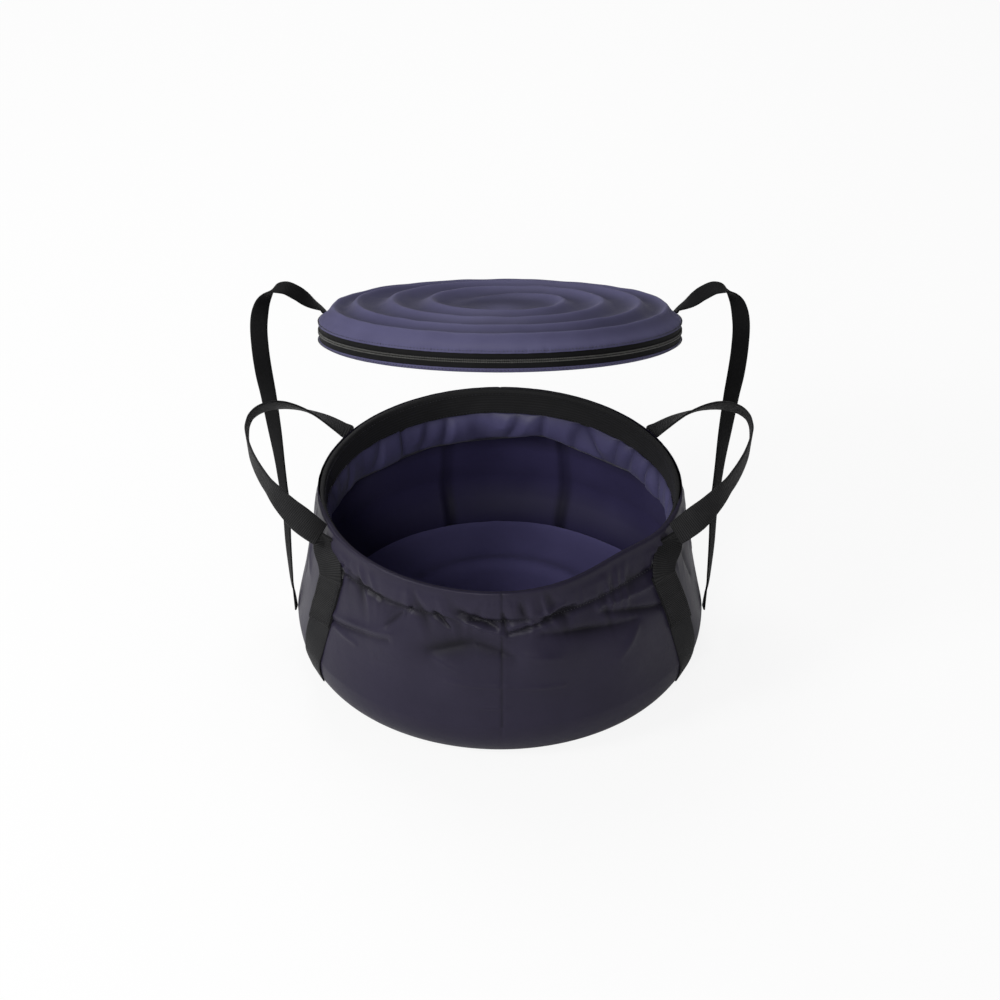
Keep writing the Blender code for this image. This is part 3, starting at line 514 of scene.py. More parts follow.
def lining_painted_shade(u, v):
    """The welded seams read darker than the panels; painted shade darkens the turn down to the floor and the top,
    which lies in the facing's shadow.
    """
    angle = 2 * math.pi * u
    height = lining_top + (lining_foot - lining_top) * v
    dark = 0.55 * (1.0 - smooth_step((height - 0.020) / 0.060)) + 0.5 * smooth_step((height - 0.088) / 0.018)
    for degrees in lining_seams:
        off = math.radians(short_way(math.degrees(angle) - degrees)) * 0.160
        dark += 0.45 * math.exp(-(off / 0.0065) ** 4)
    return dark


inner_lining = cloth_grid("wall_lining", 80, 420, lining_point, (1.0, 0.137), lining_cloth, thickness=-0.0004,
                          depth=lining_painted_shade)
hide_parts("liner_wall")
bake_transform(inner_lining)


# Rim. A spring wire hoop keeps the mouth round. Black webbing is folded over it and stitched
# down inside, and a gathered facing of the purple lining hangs below the webbing.
def webbing_finish(name, colour, light, rib, rough=0.62, bump=0.00035, shine=0.15):
    """Flat woven webbing: ribs across it, finer threads along it, and slightly faded crowns."""
    band, tree, skin = start_finish(name, {"Sheen Weight": 0.02, "Specular IOR Level": shine, "Sheen Roughness": 0.5})
    where = add_node(tree, "ShaderNodeTexCoord")
    ribs = add_node(tree, "ShaderNodeTexWave", {"Scale": 0.314 / rib, "Distortion": 0.6, "Detail": 1.0},
                    bands_direction="Y")
    threads = add_node(tree, "ShaderNodeTexWave", {"Scale": 0.314 / (rib * 0.8)}, bands_direction="X")
    both = add_node(tree, "ShaderNodeMath", {1: 0.35}, operation="MULTIPLY_ADD")
    wear = add_node(tree, "ShaderNodeTexNoise", {"Scale": 60.0, "Detail": 4.0})
    crown = add_node(tree, "ShaderNodeMath", operation="MULTIPLY")
    tint = add_node(tree, "ShaderNodeMix", {"A": (*colour, 1.0), "B": (*light, 1.0)}, data_type="RGBA")
    gloss = add_node(tree, "ShaderNodeMapRange", {"To Min": rough + 0.08, "To Max": rough - 0.06})
    relief = add_node(tree, "ShaderNodeBump", {"Strength": 0.6, "Distance": bump})
    join(tree, (where, "UV", ribs, "Vector"), (where, "UV", threads, "Vector"), (threads, "Fac", both, 0),
         (ribs, "Fac", both, 2), (where, "Object", wear, "Vector"), (both, 0, crown, 0), (wear, "Fac", crown, 1),
         (crown, 0, tint, "Factor"), (tint, "Result", skin, "Base Color"), (both, 0, gloss, "Value"),
         (gloss, "Result", skin, "Roughness"), (both, 0, relief, "Height"), (relief, "Normal", skin, "Normal"))
    return band


rim_webbing = webbing_finish("rim_webbing", (0.019, 0.019, 0.0195), (0.034, 0.034, 0.035), 0.0012, bump=0.00012)
# Section of the rim band as radius and height: over the fold, down the inner face and up the back
band_section = (
    (0.1528, 0.1576), (0.1523, 0.1583), (0.1505, 0.1585), (0.1492, 0.1578), (0.1487, 0.1560), (0.1486, 0.1500),
    (0.1485, 0.1420), (0.1486, 0.1350), (0.1488, 0.1331), (0.1494, 0.1329), (0.1498, 0.1337), (0.1499, 0.1420),
    (0.1500, 0.1530), (0.1502, 0.1560), (0.1512, 0.1570), (0.1528, 0.1570),
)


def band_point(u, v):
    """v runs round the band's section, from its fold and back to it."""
    angle = 2 * math.pi * u
    wobble = 0.0005 * noise.noise(polar(4.0, angle, 1.0))
    place = v * len(band_section)
    k = int(place) % len(band_section)
    near, far = band_section[k], band_section[(k + 1) % len(band_section)]
    share = place - int(place)
    radius = near[0] + (far[0] - near[0]) * share
    height = near[1] + (far[1] - near[1]) * share
    droop = (1.0 - smooth_step((height - 0.133) / 0.020)) * wobble * 1.4
    lip = front_share(angle)
    if height > 0.1565:
        radius = min(radius, 0.1528 - 0.0018 * lip)
        droop -= 0.0014 * lip
    return polar(radius + wobble - rim_pull(angle, height), angle, height + droop)


rim_binding = cloth_grid("rim_binding", 32, 360, band_point, (0.95, 0.055), rim_webbing)
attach(rim_binding, "rim")
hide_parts("rim_band")


facing_radius, facing_top, facing_drop, tuck_at = 0.1496, 0.1345, 0.0310, 0.82


def facing_folds(angle, v):
    """Inward stand, bunching and pinch of the facing: wide uneven bellies, sharp pinches between them."""
    turned = polar(1.0, angle, 0.0)
    bunch = noise.noise(turned * 5.0)
    wide = noise.noise(turned * 2.6 + Vector((7.0, 0.0, v * 0.5)))
    fine = noise.noise(turned * 15.0 + Vector((0.0, 0.0, v * 1.2)))
    pinch = max(0.0, 1.0 - 4.2 * abs(noise.noise(turned * 4.4 + Vector((3.0, 1.0, v * 0.4)))))
    belly = math.sin(math.pi * min(1.0, 0.05 + v * 0.97)) ** 0.7
    inward = belly * (0.0058 + 0.0040 * bunch + 0.0030 * wide) - 0.0036 * pinch * belly
    return max(0.0, inward + 0.0007 * fine * (1.0 - 0.5 * v)), bunch, pinch


def facing_point(u, v):
    """The facing bellies out over the floor and tucks back at its drawn lower edge."""
    angle = 2 * math.pi * u
    inward, bunch = facing_folds(angle, v)[:2]
    edge = noise.noise(polar(2.2, angle, 8.0))
    height = facing_top - (facing_drop + 0.0110 * edge + 0.0030 * bunch) * v
    back = 0.0024 * smooth_step((v - tuck_at) / 0.18)
    return polar(facing_radius - inward + back - rim_pull(angle, height), angle, height)


def facing_painted_shade(u, v):
    """Shade in the pinches, under the band and at the tucked lower edge."""
    pinch = facing_folds(2 * math.pi * u, v)[2]
    return 0.45 * pinch ** 2 + 0.6 * math.exp(-v / 0.06) + 0.9 * smooth_step((v - tuck_at) / 0.16)


rim_gather = cloth_grid("rim_gather", 34, 540, facing_point, (0.98, 0.031), facing_cloth, thickness=-0.0004,
                        depth=facing_painted_shade)
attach(rim_gather, "rim")
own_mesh(rim_gather)
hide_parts("rim_facing")


hoop_radius, hoop_height, wire_radius = 0.1515, 0.1548, 0.0009
hoop_steel = grained_finish("spring_wire", ("ShaderNodeTexNoise", "Fac", {"Scale": 140.0}), (0.42, 0.42, 0.43),
                            (0.62, 0.62, 0.63), {"Metallic": 1.0}, gloss=(0.25, 0.45))


def hoop_point(u, v):
    """v runs round the wire, u round the rim."""
    angle, turn = 2 * math.pi * u, 2 * math.pi * v
    radius = hoop_radius + wire_radius * math.cos(turn) - rim_pull(angle, 0.155)
    return polar(radius, angle, hoop_height + wire_radius * math.sin(turn))


hoop_wire = cloth_grid("hoop_wire", 12, 240, hoop_point, (0.95, 0.008), hoop_steel)
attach(hoop_wire, "rim")
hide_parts("rim_hoop")


# Straps sewn to the wall. Each handle's webbing runs down the wall from the rim to the foot,
# so the load hangs from the floor; its top 50 mm is doubled by the handle's own sewn end.
def webbing_strip(name, stations, width, thickness, finish, fine=5):
    """Flat webbing with rounded edges through (centre, across) stations, smoothed between them."""
    path, sides = [], []
    count = len(stations)
    for k in range(count - 1):
        near = [stations[max(0, min(count - 1, k + j))] for j in (-1, 0, 1, 2)]
        for i in range(fine):
            s = i / fine
            weights = (-0.5 * s + s * s - 0.5 * s ** 3, 1.0 - 2.5 * s * s + 1.5 * s ** 3,
                       0.5 * s + 2.0 * s * s - 1.5 * s ** 3, -0.5 * s * s + 0.5 * s ** 3)
            path.append(sum((near[j][0] * weights[j] for j in range(4)), Vector()))
            sides.append(sum((near[j][1].normalized() * weights[j] for j in range(4)), Vector()))
    path.append(stations[-1][0].copy())
    sides.append(stations[-1][1].copy())
    crown = ((-0.965, 0.72), (-0.88, 1.0), (-0.5, 1.0), (0.0, 1.0), (0.5, 1.0), (0.88, 1.0), (0.965, 0.72))
    section = [(-1.0, 0.0), *crown, (1.0, 0.0), *((share, -side) for share, side in reversed(crown))]
    shape = bmesh.new()
    chart = shape.loops.layers.uv.new("cloth")
    rings, run = [], [0.0]
    for k, centre in enumerate(path):
        ahead = path[min(k + 1, len(path) - 1)] - path[max(k - 1, 0)]
        ahead.normalize()
        across = (sides[k] - ahead * sides[k].dot(ahead)).normalized()
        lift = ahead.cross(across)
        if k:
            run.append(run[-1] + (centre - path[k - 1]).length)
        rings.append([shape.verts.new(centre + across * share * width / 2 + lift * side * thickness / 2)
                      for share, side in section])
    around = len(section)
    for k in range(len(rings) - 1):
        for i in range(around):
            j = (i + 1) % around
            corners = ((k, i), (k + 1, i), (k + 1, j), (k, j))
            face = shape.faces.new([rings[at][spot] for at, spot in corners])
            for loop, (at, spot) in zip(face.loops, corners):
                loop[chart].uv = (section[spot][0] * width / 2, run[at])
            face.smooth = True
    shape.faces.new(rings[0])
    shape.faces.new(list(reversed(rings[-1])))
    bmesh.ops.recalc_face_normals(shape, faces=shape.faces)
    piece = place_in_studio(name, mesh_of(name, shape))
    piece.data.materials.append(finish)
    return piece


def side_angle(side, turn):
    """A turn towards the front from the middle of the right or left side, as an angle."""
    return -turn if side > 0 else math.pi + turn


handle_turns = {"front": math.radians(23.5), "rear": math.radians(-34.0)}
strap_turns = {"front": math.radians(32.0), "rear": math.radians(-34.0)}
strap_foot_turns = {"front": math.radians(24.5), "rear": math.radians(-34.0)}
handle_width, strap_thickness = 0.0220, 0.0013
strap_foot, slant_foot, strap_top, strap_steps = 0.0135, 0.0090, 0.1300, 14
strap_webbing = webbing_finish("strap_webbing", (0.010, 0.010, 0.011), (0.021, 0.021, 0.023), 0.0009, rough=0.55,
                               bump=0.0002)
ribbed_webbing = webbing_finish("ribbed_webbing", (0.006, 0.006, 0.0065), (0.030, 0.030, 0.031), 0.0017,
                                bump=0.0005)


def on_wall(angle, height, off):
    """A point that stands off the smooth wall."""
    return polar(wall_radius(height) + off - rim_pull(angle, height), angle, height)


def strap_angle(side, end_name, height):
    """A front strap slants back on its way down the wall; a rear one runs straight down."""
    share = (height - slant_foot) / (strap_top - slant_foot)
    low = strap_foot_turns[end_name]
    return side_angle(side, low + (strap_turns[end_name] - low) * share)


def strap_place(side, end_name, height, off):
    """Where a strap lies, and which way its width runs: its rear edge stands a little off the wall."""
    angle = strap_angle(side, end_name, height)
    free = smooth_step((height - 0.020) / 0.045)
    twist = -side * (0.45 if end_name == "front" else -0.10) * free
    tangent = Vector((-math.sin(angle + twist), math.cos(angle + twist), 0.0))
    off += abs(math.sin(twist)) * handle_width * 0.42 - 0.0011 * (1.0 - smooth_step((height - 0.014) / 0.030))
    return on_wall(angle, height, off), tangent


for side, side_name in ((-1, "left"), (1, "right")):
    for end_name in strap_turns:
        label = side_name + "_" + end_name
        stations = []
        for i in range(strap_steps + 1):
            height = strap_foot + (strap_top - strap_foot) * i / strap_steps
            ripple = 0.0005 * noise.noise(Vector((side * 9.0, height * 60.0, 2.0)))
            stations.append(strap_place(side, end_name, height, strap_thickness + ripple))
        strap = webbing_strip(label + "_strap", stations, handle_width, strap_thickness, strap_webbing, fine=4)
        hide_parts(label + "_wall_strap")
        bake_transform(strap)


# Carry handles. Two loops of 22 mm ribbed webbing, sewn flat to the wall below the rim, stand
# out stiffly at the sides; each twists on its way, so it shows its edge near the apex and rear.
handle_reach, handle_lean, handle_thickness = 0.0864, 0.0090, 0.0019
handle_pitch = math.radians(33.0)
handle_root_height, handle_root_stand, loop_steps = 0.1540, 0.0076, 36
sewn_thickness = 0.0018
sewn_heights = (0.0780, 0.0860, 0.0950, 0.1040, 0.1130, 0.1220, 0.1290)
# Share of the way round a loop, then degrees between the webbing's width and square to the loop
loop_turns = (
    (0.00, 58.0), (0.06, 38.0), (0.12, 4.0), (0.22, -26.0), (0.33, -34.0), (0.44, -39.0),
    (0.50, -30.0), (0.56, -14.0), (0.61, 0.0), (0.72, 22.0), (0.83, 47.0), (0.94, 78.0), (1.00, 90.0),
)


def handle_root(side, turn):
    """Where a carry loop springs from its sewn end, just under the rim."""
    return on_wall(side_angle(side, turn), handle_root_height, handle_root_stand)


for side, side_name in ((-1, "left"), (1, "right")):
    front, rear = handle_root(side, handle_turns["front"]), handle_root(side, handle_turns["rear"])
    chord = (rear - front).normalized()
    level = Vector((side, 0.0, 0.0))
    level = (level - chord * level.dot(chord)).normalized()
    stand = level * math.cos(handle_pitch) + Vector((0.0, 0.0, math.sin(handle_pitch)))
    middle, half_span = (front + rear) / 2, (rear - front).length / 2
    lie = chord.cross(stand).normalized()
    if lie.z < 0:
        lie = -lie
    bulge = stand * handle_reach + chord * handle_lean
    stations, runs = [], []
    for i in range(loop_steps + 1):
        share = i / loop_steps
        for (before, first), (after, second) in zip(loop_turns, loop_turns[1:]):
            if before <= share <= after:
                twist = math.radians(first + (second - first) * (share - before) / (after - before))
        turn = math.pi * share
        centre = middle - chord * half_span * math.cos(turn) + bulge * math.sin(turn)
        run = (chord * half_span * math.sin(turn) + bulge * math.cos(turn)).normalized()
        stations.append((centre, lie * math.cos(twist) - run.cross(lie) * side * math.sin(twist)))
        runs.append(run)
    loop = webbing_strip(side_name + "_carry_loop", stations, handle_width, handle_thickness, ribbed_webbing, fine=4)
    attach(loop, side_name + "_handle")
    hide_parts(side_name + "_handle_loop")

    ends = (("front", front, runs[0], stations[0][1]), ("rear", rear, -runs[-1], stations[-1][1]))
    for end_name, root, run, across in ends:
        stations = []
        for height in sewn_heights:
            ripple = 0.0004 * noise.noise(Vector((side * 6.0, height * 80.0, 6.0)))
            clear = 0.0029 + ripple + 0.0016 * smooth_step((height - 0.122) / 0.02)
            stations.append(strap_place(side, end_name, height, clear))
        tangent = stations[-1][1]
        turned = (side_angle(side, strap_turns[end_name]) * 2 + side_angle(side, handle_turns[end_name])) / 3
        if end_name == "front":
            stations.append((on_wall(turned, 0.1400, 0.0062), tangent))
            stations.append((root - Vector((0.0, 0.0, 0.0045)) - run * 0.0035, tangent))
            stations.append((root + Vector((0.0, 0.0, 0.0026)) - run * 0.0042, tangent))
        else:
            across = -across if tangent.dot(across) < 0 else across
            stations.append((on_wall(turned, 0.1430, 0.0068), (tangent * 2.0 + across) / 3))
            stations.append((root - run * 0.0045, (tangent + across * 3.0) / 4))
            stations.append((root + run * 0.0010, across))
        end = webbing_strip(side_name + "_" + end_name + "_sewn_end", stations, handle_width, sewn_thickness,
                            ribbed_webbing)
        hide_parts(side_name + "_" + end_name + "_handle_end")
        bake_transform(end)


# Lid tethers. Two lengths of 15 mm webbing run from the foot of the wall, up the outside behind
# the handles and over into the case's seam; each is cut into three parts.
tether_width, tether_thickness, tether_fine = 0.0150, 0.0015, 6
tether_cuts = (0, 8, 15)
case_middle = Vector((0.0, 0.0650, 0.2747))
case_tilt = Matrix.Rotation(-math.radians(22.5), 3, "X")
tether_webbing = webbing_finish("tether_webbing", (0.0045, 0.0045, 0.005), (0.009, 0.009, 0.0095), 0.0012,
                                bump=0.00025, shine=0.06)
# A tether's way on the right-hand side: centres, each with the way that the webbing's width runs
tether_route = (
    ((0.1768, 0.0, 0.0300), (0.0, -1.0, 0.0)), ((0.1788, 0.0057, 0.0443), (-0.05, -0.90, 0.45)),
    ((0.1805, 0.0143, 0.0490), (-0.12, -0.70, 0.70)), ((0.1827, 0.0304, 0.0546), (-0.20, -0.50, 0.84)),
    ((0.1852, 0.0504, 0.0659), (-0.34, -0.60, 0.72)), ((0.1875, 0.0751, 0.0832), (-0.45, -0.65, 0.60)),
    ((0.1906, 0.0884, 0.1004), (-0.54, -0.82, 0.20)), ((0.1932, 0.0950, 0.1203), (-0.65, -0.76, 0.00)),
    ((0.1965, 0.0950, 0.1541), (-0.85, -0.52, 0.00)), ((0.2002, 0.0950, 0.1874), (-0.96, -0.28, 0.00)),
    ((0.2035, 0.0950, 0.2121), (-1.00, 0.00, 0.00)), ((0.2056, 0.0950, 0.2367), (-1.00, 0.00, 0.00)),
    ((0.2058, 0.0950, 0.2614), (-1.00, 0.00, 0.00)), ((0.2019, 0.0950, 0.2822), (-0.90, 0.43, 0.05)),
    ((0.1936, 0.0950, 0.2943), (-0.70, 0.70, 0.15)), ((0.1829, 0.0950, 0.2970), (-0.50, 0.85, 0.15)),
    ((0.1730, 0.0950, 0.2922), (-0.50, 0.85, 0.15)), ((0.1654, 0.0960, 0.2857), (-0.45, 0.88, 0.00)),
)


def case_place(point):
    """A place in the tilted case's own frame, as a place over the basin."""
    return case_tilt @ Vector(point) + case_middle


for side, side_name in ((-1, "left"), (1, "right")):
    stations = [(Vector((side * x, y, z)), Vector((side * a, b, c))) for (x, y, z), (a, b, c) in tether_route]
    seam = side_angle(side, -math.radians(12.0))
    end = case_place(polar(0.1524, seam, 0.0085))
    edge = case_place(polar(0.1524, seam - side * math.radians(12.0), 0.0085))
    across = (end - edge).normalized()
    stations += [(case_place(polar(0.1574, seam, 0.0135)), across), (end, across)]
    whole = webbing_strip(side_name + "_tether_run", stations, tether_width, tether_thickness, tether_webbing,
                          fine=tether_fine)
    cuts = [station * tether_fine for station in (*tether_cuts, len(stations) - 1)]
    around = len(whole.data.vertices) // (cuts[-1] + 1)
    bodies = (("foot", "base", "rim", (0.0, 0.0, 0.030), (0.0, 0.0, 0.140)),
              ("rise", "rim", "tethers", (0.0, 0.0, 0.160), (0.0, 0.0, 0.294)),
              ("end", "tethers", "case_upper", (side * 0.183, 0.0, 0.0), (side * 0.154, 0.0, 0.0)))
    for low, high, (part_name, near, far, start, finish) in zip(cuts, cuts[1:], bodies):
        copy = whole.data.copy()
        shape = bmesh.new()
        shape.from_mesh(copy)
        out = [v for v in shape.verts if not low * around <= v.index < (high + 1) * around]
        bmesh.ops.delete(shape, geom=out, context="VERTS")
        shape.to_mesh(copy)
        shape.free()
        copy.name = side_name + "_tether_" + part_name
        length = place_in_studio(copy.name, copy)
        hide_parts(side_name + "_tether")
        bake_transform(length)
    bpy.data.objects.remove(whole)


# Upper half of the case. Cloth bonded to moulded foam, puffed between the turns of one
# pressed spiral that sinks to a dish in the middle, and sewn down all round to the zip.
case_radius, zip_half = 0.1530, 0.0060
crests, ridge_rise = (0.346, 0.564, 0.770, 0.920), 0.0058
crown_rise, dish_sink = 0.0140, 0.0030
shell_cloth = coated_cloth("violet_shell_cloth", (0.088, 0.084, 0.162), (0.074, 0.070, 0.138), 0.56, 0.01, 0.0003,
                           thread=0.0008, shine=0.08)


def spiral_height(share, turn):
    """The pressed ridge: it winds out from the dish, one crest a turn, and closes as a ring near the edge."""
    wind = turn / (2 * math.pi) - 0.35 * (1.0 - math.cos(turn)) / 2
    count = 0
    while count < 2 and share > crests[count + 1]:
        count += 1
    index = count + (share - crests[count]) / (crests[count + 1] - crests[count])
    inner = smooth_step(2.0 * share / crests[0] - 1.0)
    outer = smooth_step((1.0 - share) / (1.0 - crests[-1]))
    wave = 0.5 + 0.5 * math.cos(2 * math.pi * (index - wind))
    ring = 0.5 + 0.5 * math.cos(2 * math.pi * index)
    wave += (ring - wave) * smooth_step((share - 0.80) / 0.10)
    return ridge_rise * (0.7 * wave ** 1.3 + 0.3 * wave ** 6) * inner * outer


def crown_height(share):
    """Height of the smooth lid over the zip's middle, without its ridge."""
    dish = dish_sink * (1.0 - smooth_step(share / 0.30))
    return zip_half + crown_rise * math.sqrt(max(0.0, 1.0 - share ** 6)) - dish


def lid_point(u, v):
    """v runs from the sewn edge, in over the crown, to the middle of the dish."""
    angle = 2 * math.pi * u
    share = 1.0 - v ** 1.35
    turned = polar(1.0, angle, 0.0)
    edge = math.exp(-(1.0 - share) / 0.020)
    pucker = 0.00055 * edge * (1.0 - 2.0 * abs(noise.noise(turned * 46.0 + Vector((0.0, 0.0, share * 5.0)))))
    soft = 0.0007 * noise.noise(Vector((share * turned.x * 7.0, share * turned.y * 7.0, 3.0)))
    height = crown_height(share) + spiral_height(share, -angle % (2 * math.pi)) + soft * (1.0 - edge)
    return case_place(polar(case_radius * share + pucker, angle, max(height, zip_half) + 0.5 * pucker))


def lid_painted_shade(u, v):
    """Painted shade lies between the pressed spiral's crests, and the dish is painted a little darker as shade."""
    angle = 2 * math.pi * u
    share = 1.0 - v ** 1.35
    groove = 1.0 - spiral_height(share, -angle % (2 * math.pi)) / ridge_rise
    inside = smooth_step((0.95 - share) / 0.06) * smooth_step(share / 0.20)
    return 0.60 * groove * inside + 0.20 * (1.0 - smooth_step(share / 0.35))


lid_shell = cloth_grid("lid_shell", 120, 480, lid_point, (0.96, 0.153), shell_cloth, depth=lid_painted_shade)
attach(lid_shell, "case_upper")
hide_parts("upper_shell")


lid_lining_radius, lid_lining_sink = 0.1500, 0.0033


def lid_lining_point(u, v):
    """v runs from the middle of the lining to its edge beside the zip."""
    angle = 2 * math.pi * u
    share = v ** 0.75
    height = zip_half + 0.0012
    if share < 0.96:
        height = min(crown_height(share) - lid_lining_sink, crown_height(0.5))
    wrinkle = 0.0004 * noise.noise(polar(share * 9.0, angle, 8.0))
    height = max(height, zip_half + 0.0010) - 0.0006 + wrinkle
    return case_place(polar(lid_lining_radius * share, angle, height))


lid_lining = cloth_grid("lid_lining", 50, 240, lid_lining_point, (0.94, 0.150), lining_cloth, thickness=-0.0004)
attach(lid_lining, "case_upper")
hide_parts("upper_lining")


# Lower half of the case. A plain shallow tray of the same cloth and foam, lined inside. It
# stays joined to the upper half along the unzipped stretch at the rear.
tray_corner, tray_sink, tray_ring = 0.0060, 0.0042, 0.118


def tray_point(u, v):
    """v runs from the rim of the tray, down its rounded corner and across its underside."""
    angle = 2 * math.pi * u
    if v < 0.25:
        turn = math.pi / 2 * v / 0.25
        radius = case_radius - tray_corner * (1.0 - math.cos(turn))
        height = -zip_half - tray_sink * math.sin(turn)
    else:
        radius = (case_radius - tray_corner) * (1.0 - (v - 0.25) / 0.75)
        height = -zip_half - tray_sink
    ring = 0.0008 * math.exp(-((radius - tray_ring) / 0.0035) ** 2)
    soft = 0.0005 * noise.noise(polar(radius * 50.0, angle, 5.0))
    return case_place(polar(radius, angle, height + ring + soft * smooth_step((case_radius - radius) / 0.02)))


tray_shell = cloth_grid("tray_shell", 70, 360, tray_point, (0.96, 0.165), shell_cloth, thickness=-0.0012)
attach(tray_shell, "case_lower")
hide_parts("lower_shell")


tray_lining_radius, tray_lining_level = 0.1460, -0.0067


def tray_lining_point(u, v):
    """v runs from the middle of the lining to its edge."""
    angle = 2 * math.pi * u
    wrinkle = 0.0003 * noise.noise(polar(v * 9.0, angle, 2.0))
    return case_place(polar(tray_lining_radius * v, angle, tray_lining_level + wrinkle))


tray_lining = cloth_grid("tray_lining", 40, 240, tray_lining_point, (0.92, 0.146), lining_cloth, thickness=-0.0004)
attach(tray_lining, "case_lower")
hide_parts("lower_lining")


# Zip. Two black tapes are sewn to the halves' edges and meet under a nylon coil; the spine
# at the rear is the same tape left closed, with a small metal stop at each end of the coil.
zip_start, zip_end = math.radians(110.0), math.radians(430.0)
tape_gap, tape_edge = 0.0004, 0.0066
tape_finish = webbing_finish("zip_tape", (0.0060, 0.0060, 0.0065), (0.013, 0.013, 0.0135), 0.0008, rough=0.7,
                             bump=0.00012, shine=0.06)


def tape_band(name, low, high, start, end, body, node, columns):
    """A strip of zip tape round the case's edge, between two heights and two angles."""
    def tape_point(u, v):
        angle = start + (end - start) * u
        height = low + (high - low) * v
        fold = 0.0003 * math.sin(math.pi * v) + 0.00012 * noise.noise(Vector((angle * 40.0, v * 2.0, low * 900.0)))
        return case_place(polar(case_radius - 0.0006 + fold, angle, height))
    band = cloth_grid(name, 6, columns, tape_point, ((end - start) * case_radius, abs(high - low)), tape_finish,
                      around=False, thickness=0.0006)
    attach(band, body)
    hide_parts(node)


tape_band("upper_tape", tape_gap, tape_edge, zip_start, zip_end, "case_upper", "upper_zip_tape", 360)
tape_band("lower_tape", -tape_edge, -tape_gap, zip_start, zip_end, "case_lower", "lower_zip_tape", 360)
tape_band("rear_spine", -tape_edge, 0.0062, math.radians(72.0), math.radians(108.0), "case_lower", "case_spine", 60)


def repeat_tree(name, unit, finish):
    """Copies of one small piece, set along a curve at a step and turned to follow it."""
    tree = bpy.data.node_groups.new(name, "GeometryNodeTree")
    tree.interface.new_socket(name="Path", in_out="INPUT", socket_type="NodeSocketGeometry")
    tree.interface.new_socket(name="Row", in_out="OUTPUT", socket_type="NodeSocketGeometry")
    step = tree.interface.new_socket(name="Step", in_out="INPUT", socket_type="NodeSocketFloat")
    enter, leave = add_node(tree, "NodeGroupInput"), add_node(tree, "NodeGroupOutput")
    spots = add_node(tree, "GeometryNodeCurveToPoints", mode="LENGTH")
    part = add_node(tree, "GeometryNodeObjectInfo", {"Object": unit})
    copies = add_node(tree, "GeometryNodeInstanceOnPoints")
    solid = add_node(tree, "GeometryNodeRealizeInstances")
    paint = add_node(tree, "GeometryNodeSetMaterial", {"Material": finish})
    join(tree, (enter, "Path", spots, "Curve"), (enter, "Step", spots, "Length"),
         (spots, "Points", copies, "Points"), (spots, "Rotation", copies, "Rotation"),
         (part, "Geometry", copies, "Instance"), (copies, "Instances", solid, "Geometry"),
         (solid, "Geometry", paint, "Geometry"), (paint, "Geometry", leave, "Row"))
    return tree, step.identifier


def along_path(name, paths, unit, finish, step, closed=False):
    """Set copies of a unit along point paths and give back one plain mesh."""
    route = bpy.data.curves.new(name, "CURVE")
    route.dimensions = "3D"
    route.twist_mode = "Z_UP"
    for path in paths:
        spline = route.splines.new("POLY")
        spline.points.add(len(path) - 1)
        for spot, place in zip(spline.points, path):
            spot.co = (*place, 1.0)
        spline.use_cyclic_u = closed
    row = place_in_studio(name, route)
    maker = row.modifiers.new("repeat", "NODES")
    maker.node_group, step_input = repeat_tree(name + "_rule", unit, finish)
    maker[step_input] = step
    made = settled_mesh(row)
    bpy.data.objects.remove(row)
    made.name = name
    return place_in_studio(name, made)


def unit_loop(name, length, half_width, half_height):
    """A short rounded bead that lies along X: one stitch, or one turn of the zip's coil."""
    shape = bmesh.new()
    rings = []
    for along, grow in ((-0.5, 0.35), (-0.32, 0.95), (0.32, 0.95), (0.5, 0.35)):
        rings.append([shape.verts.new((along * length, grow * half_width * math.cos(math.pi * k / 3),
                                       grow * half_height * math.sin(math.pi * k / 3))) for k in range(6)])
    for near, far in zip(rings, rings[1:]):
        for k in range(6):
            shape.faces.new((near[k], near[(k + 1) % 6], far[(k + 1) % 6], far[k]))
    shape.faces.new(rings[0])
    shape.faces.new(rings[-1])
    bmesh.ops.recalc_face_normals(shape, faces=shape.faces)
    for face in shape.faces:
        face.smooth = True
    return bpy.data.objects.new(name, mesh_of(name, shape))


coil_nylon = grained_finish("coil_nylon", ("ShaderNodeTexNoise", "Fac", {"Scale": 210.0}), (0.030, 0.030, 0.028),
                            (0.080, 0.080, 0.074), {}, gloss=(0.30, 0.50))
coil_turn = unit_loop("coil_turn", 0.00105, 0.00085, 0.00075)
coil_pitch, coil_off, coil_knots = 0.00150, 0.00085, 720
for half, way, body in (("upper", 1, "case_upper"), ("lower", -1, "case_lower")):
    angles = [zip_start + (zip_end - zip_start) * i / coil_knots for i in range(coil_knots + 1)]
    path = [case_place(polar(case_radius + 0.0001, angle, way * coil_off)) for angle in angles]
    coil = along_path(half + "_coil", [path], coil_turn, coil_nylon, coil_pitch)
    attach(coil, body)
    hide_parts(half + "_zip_teeth")

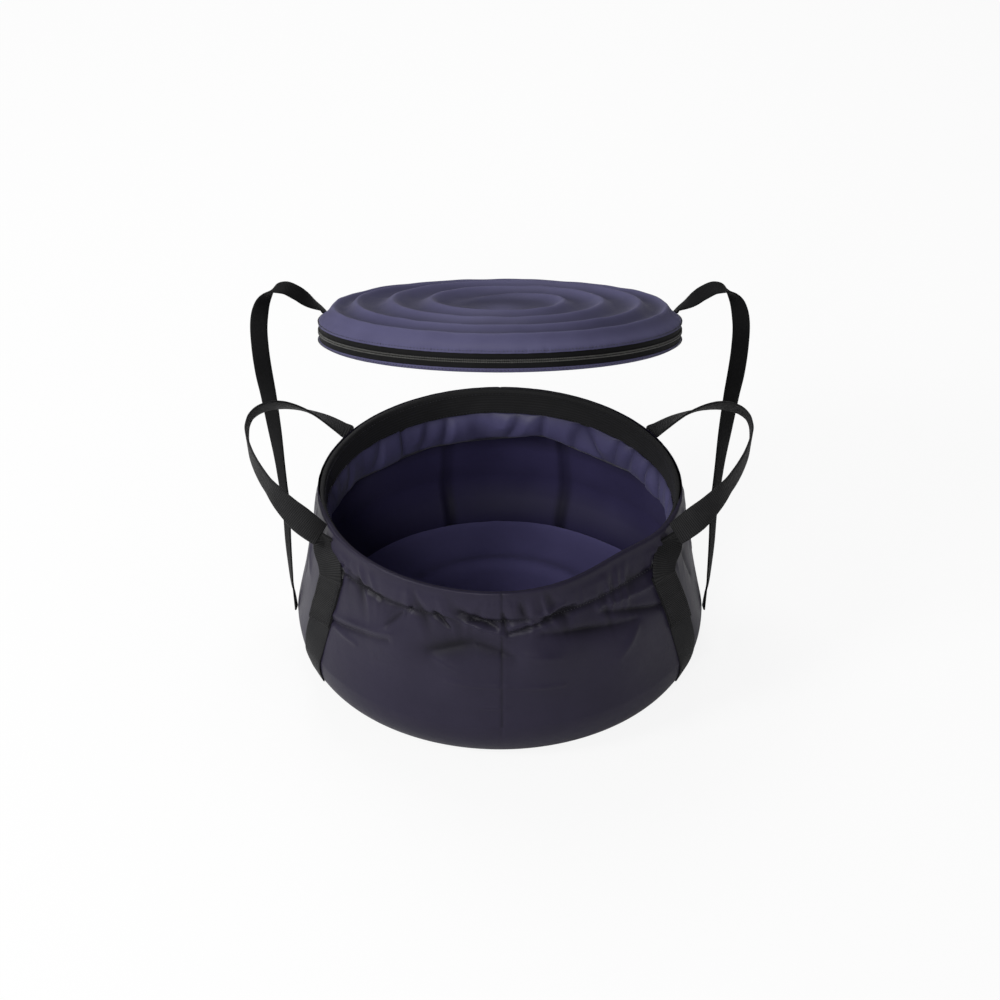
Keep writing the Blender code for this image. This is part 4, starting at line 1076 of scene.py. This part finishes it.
zip_metal = grained_finish("dark_zip_metal", ("ShaderNodeTexNoise", "Fac", {"Scale": 320.0, "Detail": 4.0}),
                           (0.040, 0.040, 0.042), (0.110, 0.108, 0.105), {"Metallic": 0.85}, gloss=(0.28, 0.48))
for node in ("zip_slider", "zip_puller", "left_zip_stop", "right_zip_stop"):
    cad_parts[node].material_slots[0].material = zip_metal


# Stitching. Dark thread in short lockstitches: round the rim band, along the gathers, down the
# edges of the sewn handle ends, and round the lid and the tray beside the zip.
thread_finish = grained_finish("dark_thread", ("ShaderNodeTexNoise", "Fac", {"Scale": 900.0}),
                               (0.012, 0.012, 0.016), (0.040, 0.040, 0.050), {"Roughness": 0.6})
stitch = unit_loop("stitch", 0.0022, 0.00028, 0.00028)
stitch_pitch = 0.0030
ring_angles = [2 * math.pi * i / 360 for i in range(360)]


def stitched(name, paths, body, closed=True):
    """Rows of lockstitches along paths, riding on a body where one is named."""
    row = along_path(name, paths, stitch, thread_finish, stitch_pitch, closed)
    if body:
        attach(row, body)
    return row


gather_level = stitch_height + 0.0002
gather_path = [polar(wall_radius(gather_level) - 0.0011 - rim_pull(angle, gather_level), angle, gather_level)
               for angle in ring_angles]
gather_seam = stitched("gather_stitches", [gather_path], None)
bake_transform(gather_seam)

band_paths = [[polar(0.1485 - rim_pull(angle, height), angle, height) for angle in ring_angles]
              for height in (0.1360, 0.1545)]
stitched("band_stitches", band_paths, "rim")
lid_path = [case_place(polar(case_radius * 0.9965 + 0.0003, angle, 0.0082)) for angle in ring_angles]
stitched("lid_edge_stitches", [lid_path], "case_upper")
tray_path = [case_place(polar(case_radius - 0.0002, angle, -0.0075)) for angle in ring_angles]
stitched("tray_edge_stitches", [tray_path], "case_lower")

end_outline = ((-0.0090, 0.1270), (-0.0090, 0.0800), (0.0090, 0.0800), (0.0090, 0.1270))
end_paths = []
for side in (-1, 1):
    for end_name in strap_turns:
        corners = [(a + (b - a) * k / 12, low + (high - low) * k / 12)
                   for (a, low), (b, high) in zip(end_outline, end_outline[1:]) for k in range(12)]
        path = []
        for off, height in (*corners, end_outline[-1]):
            place, aside = strap_place(side, end_name, height, 0.0040)
            path.append(place + aside * off)
        end_paths.append(path)
handle_seams = stitched("handle_end_stitches", end_paths, None, closed=False)
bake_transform(handle_seams)
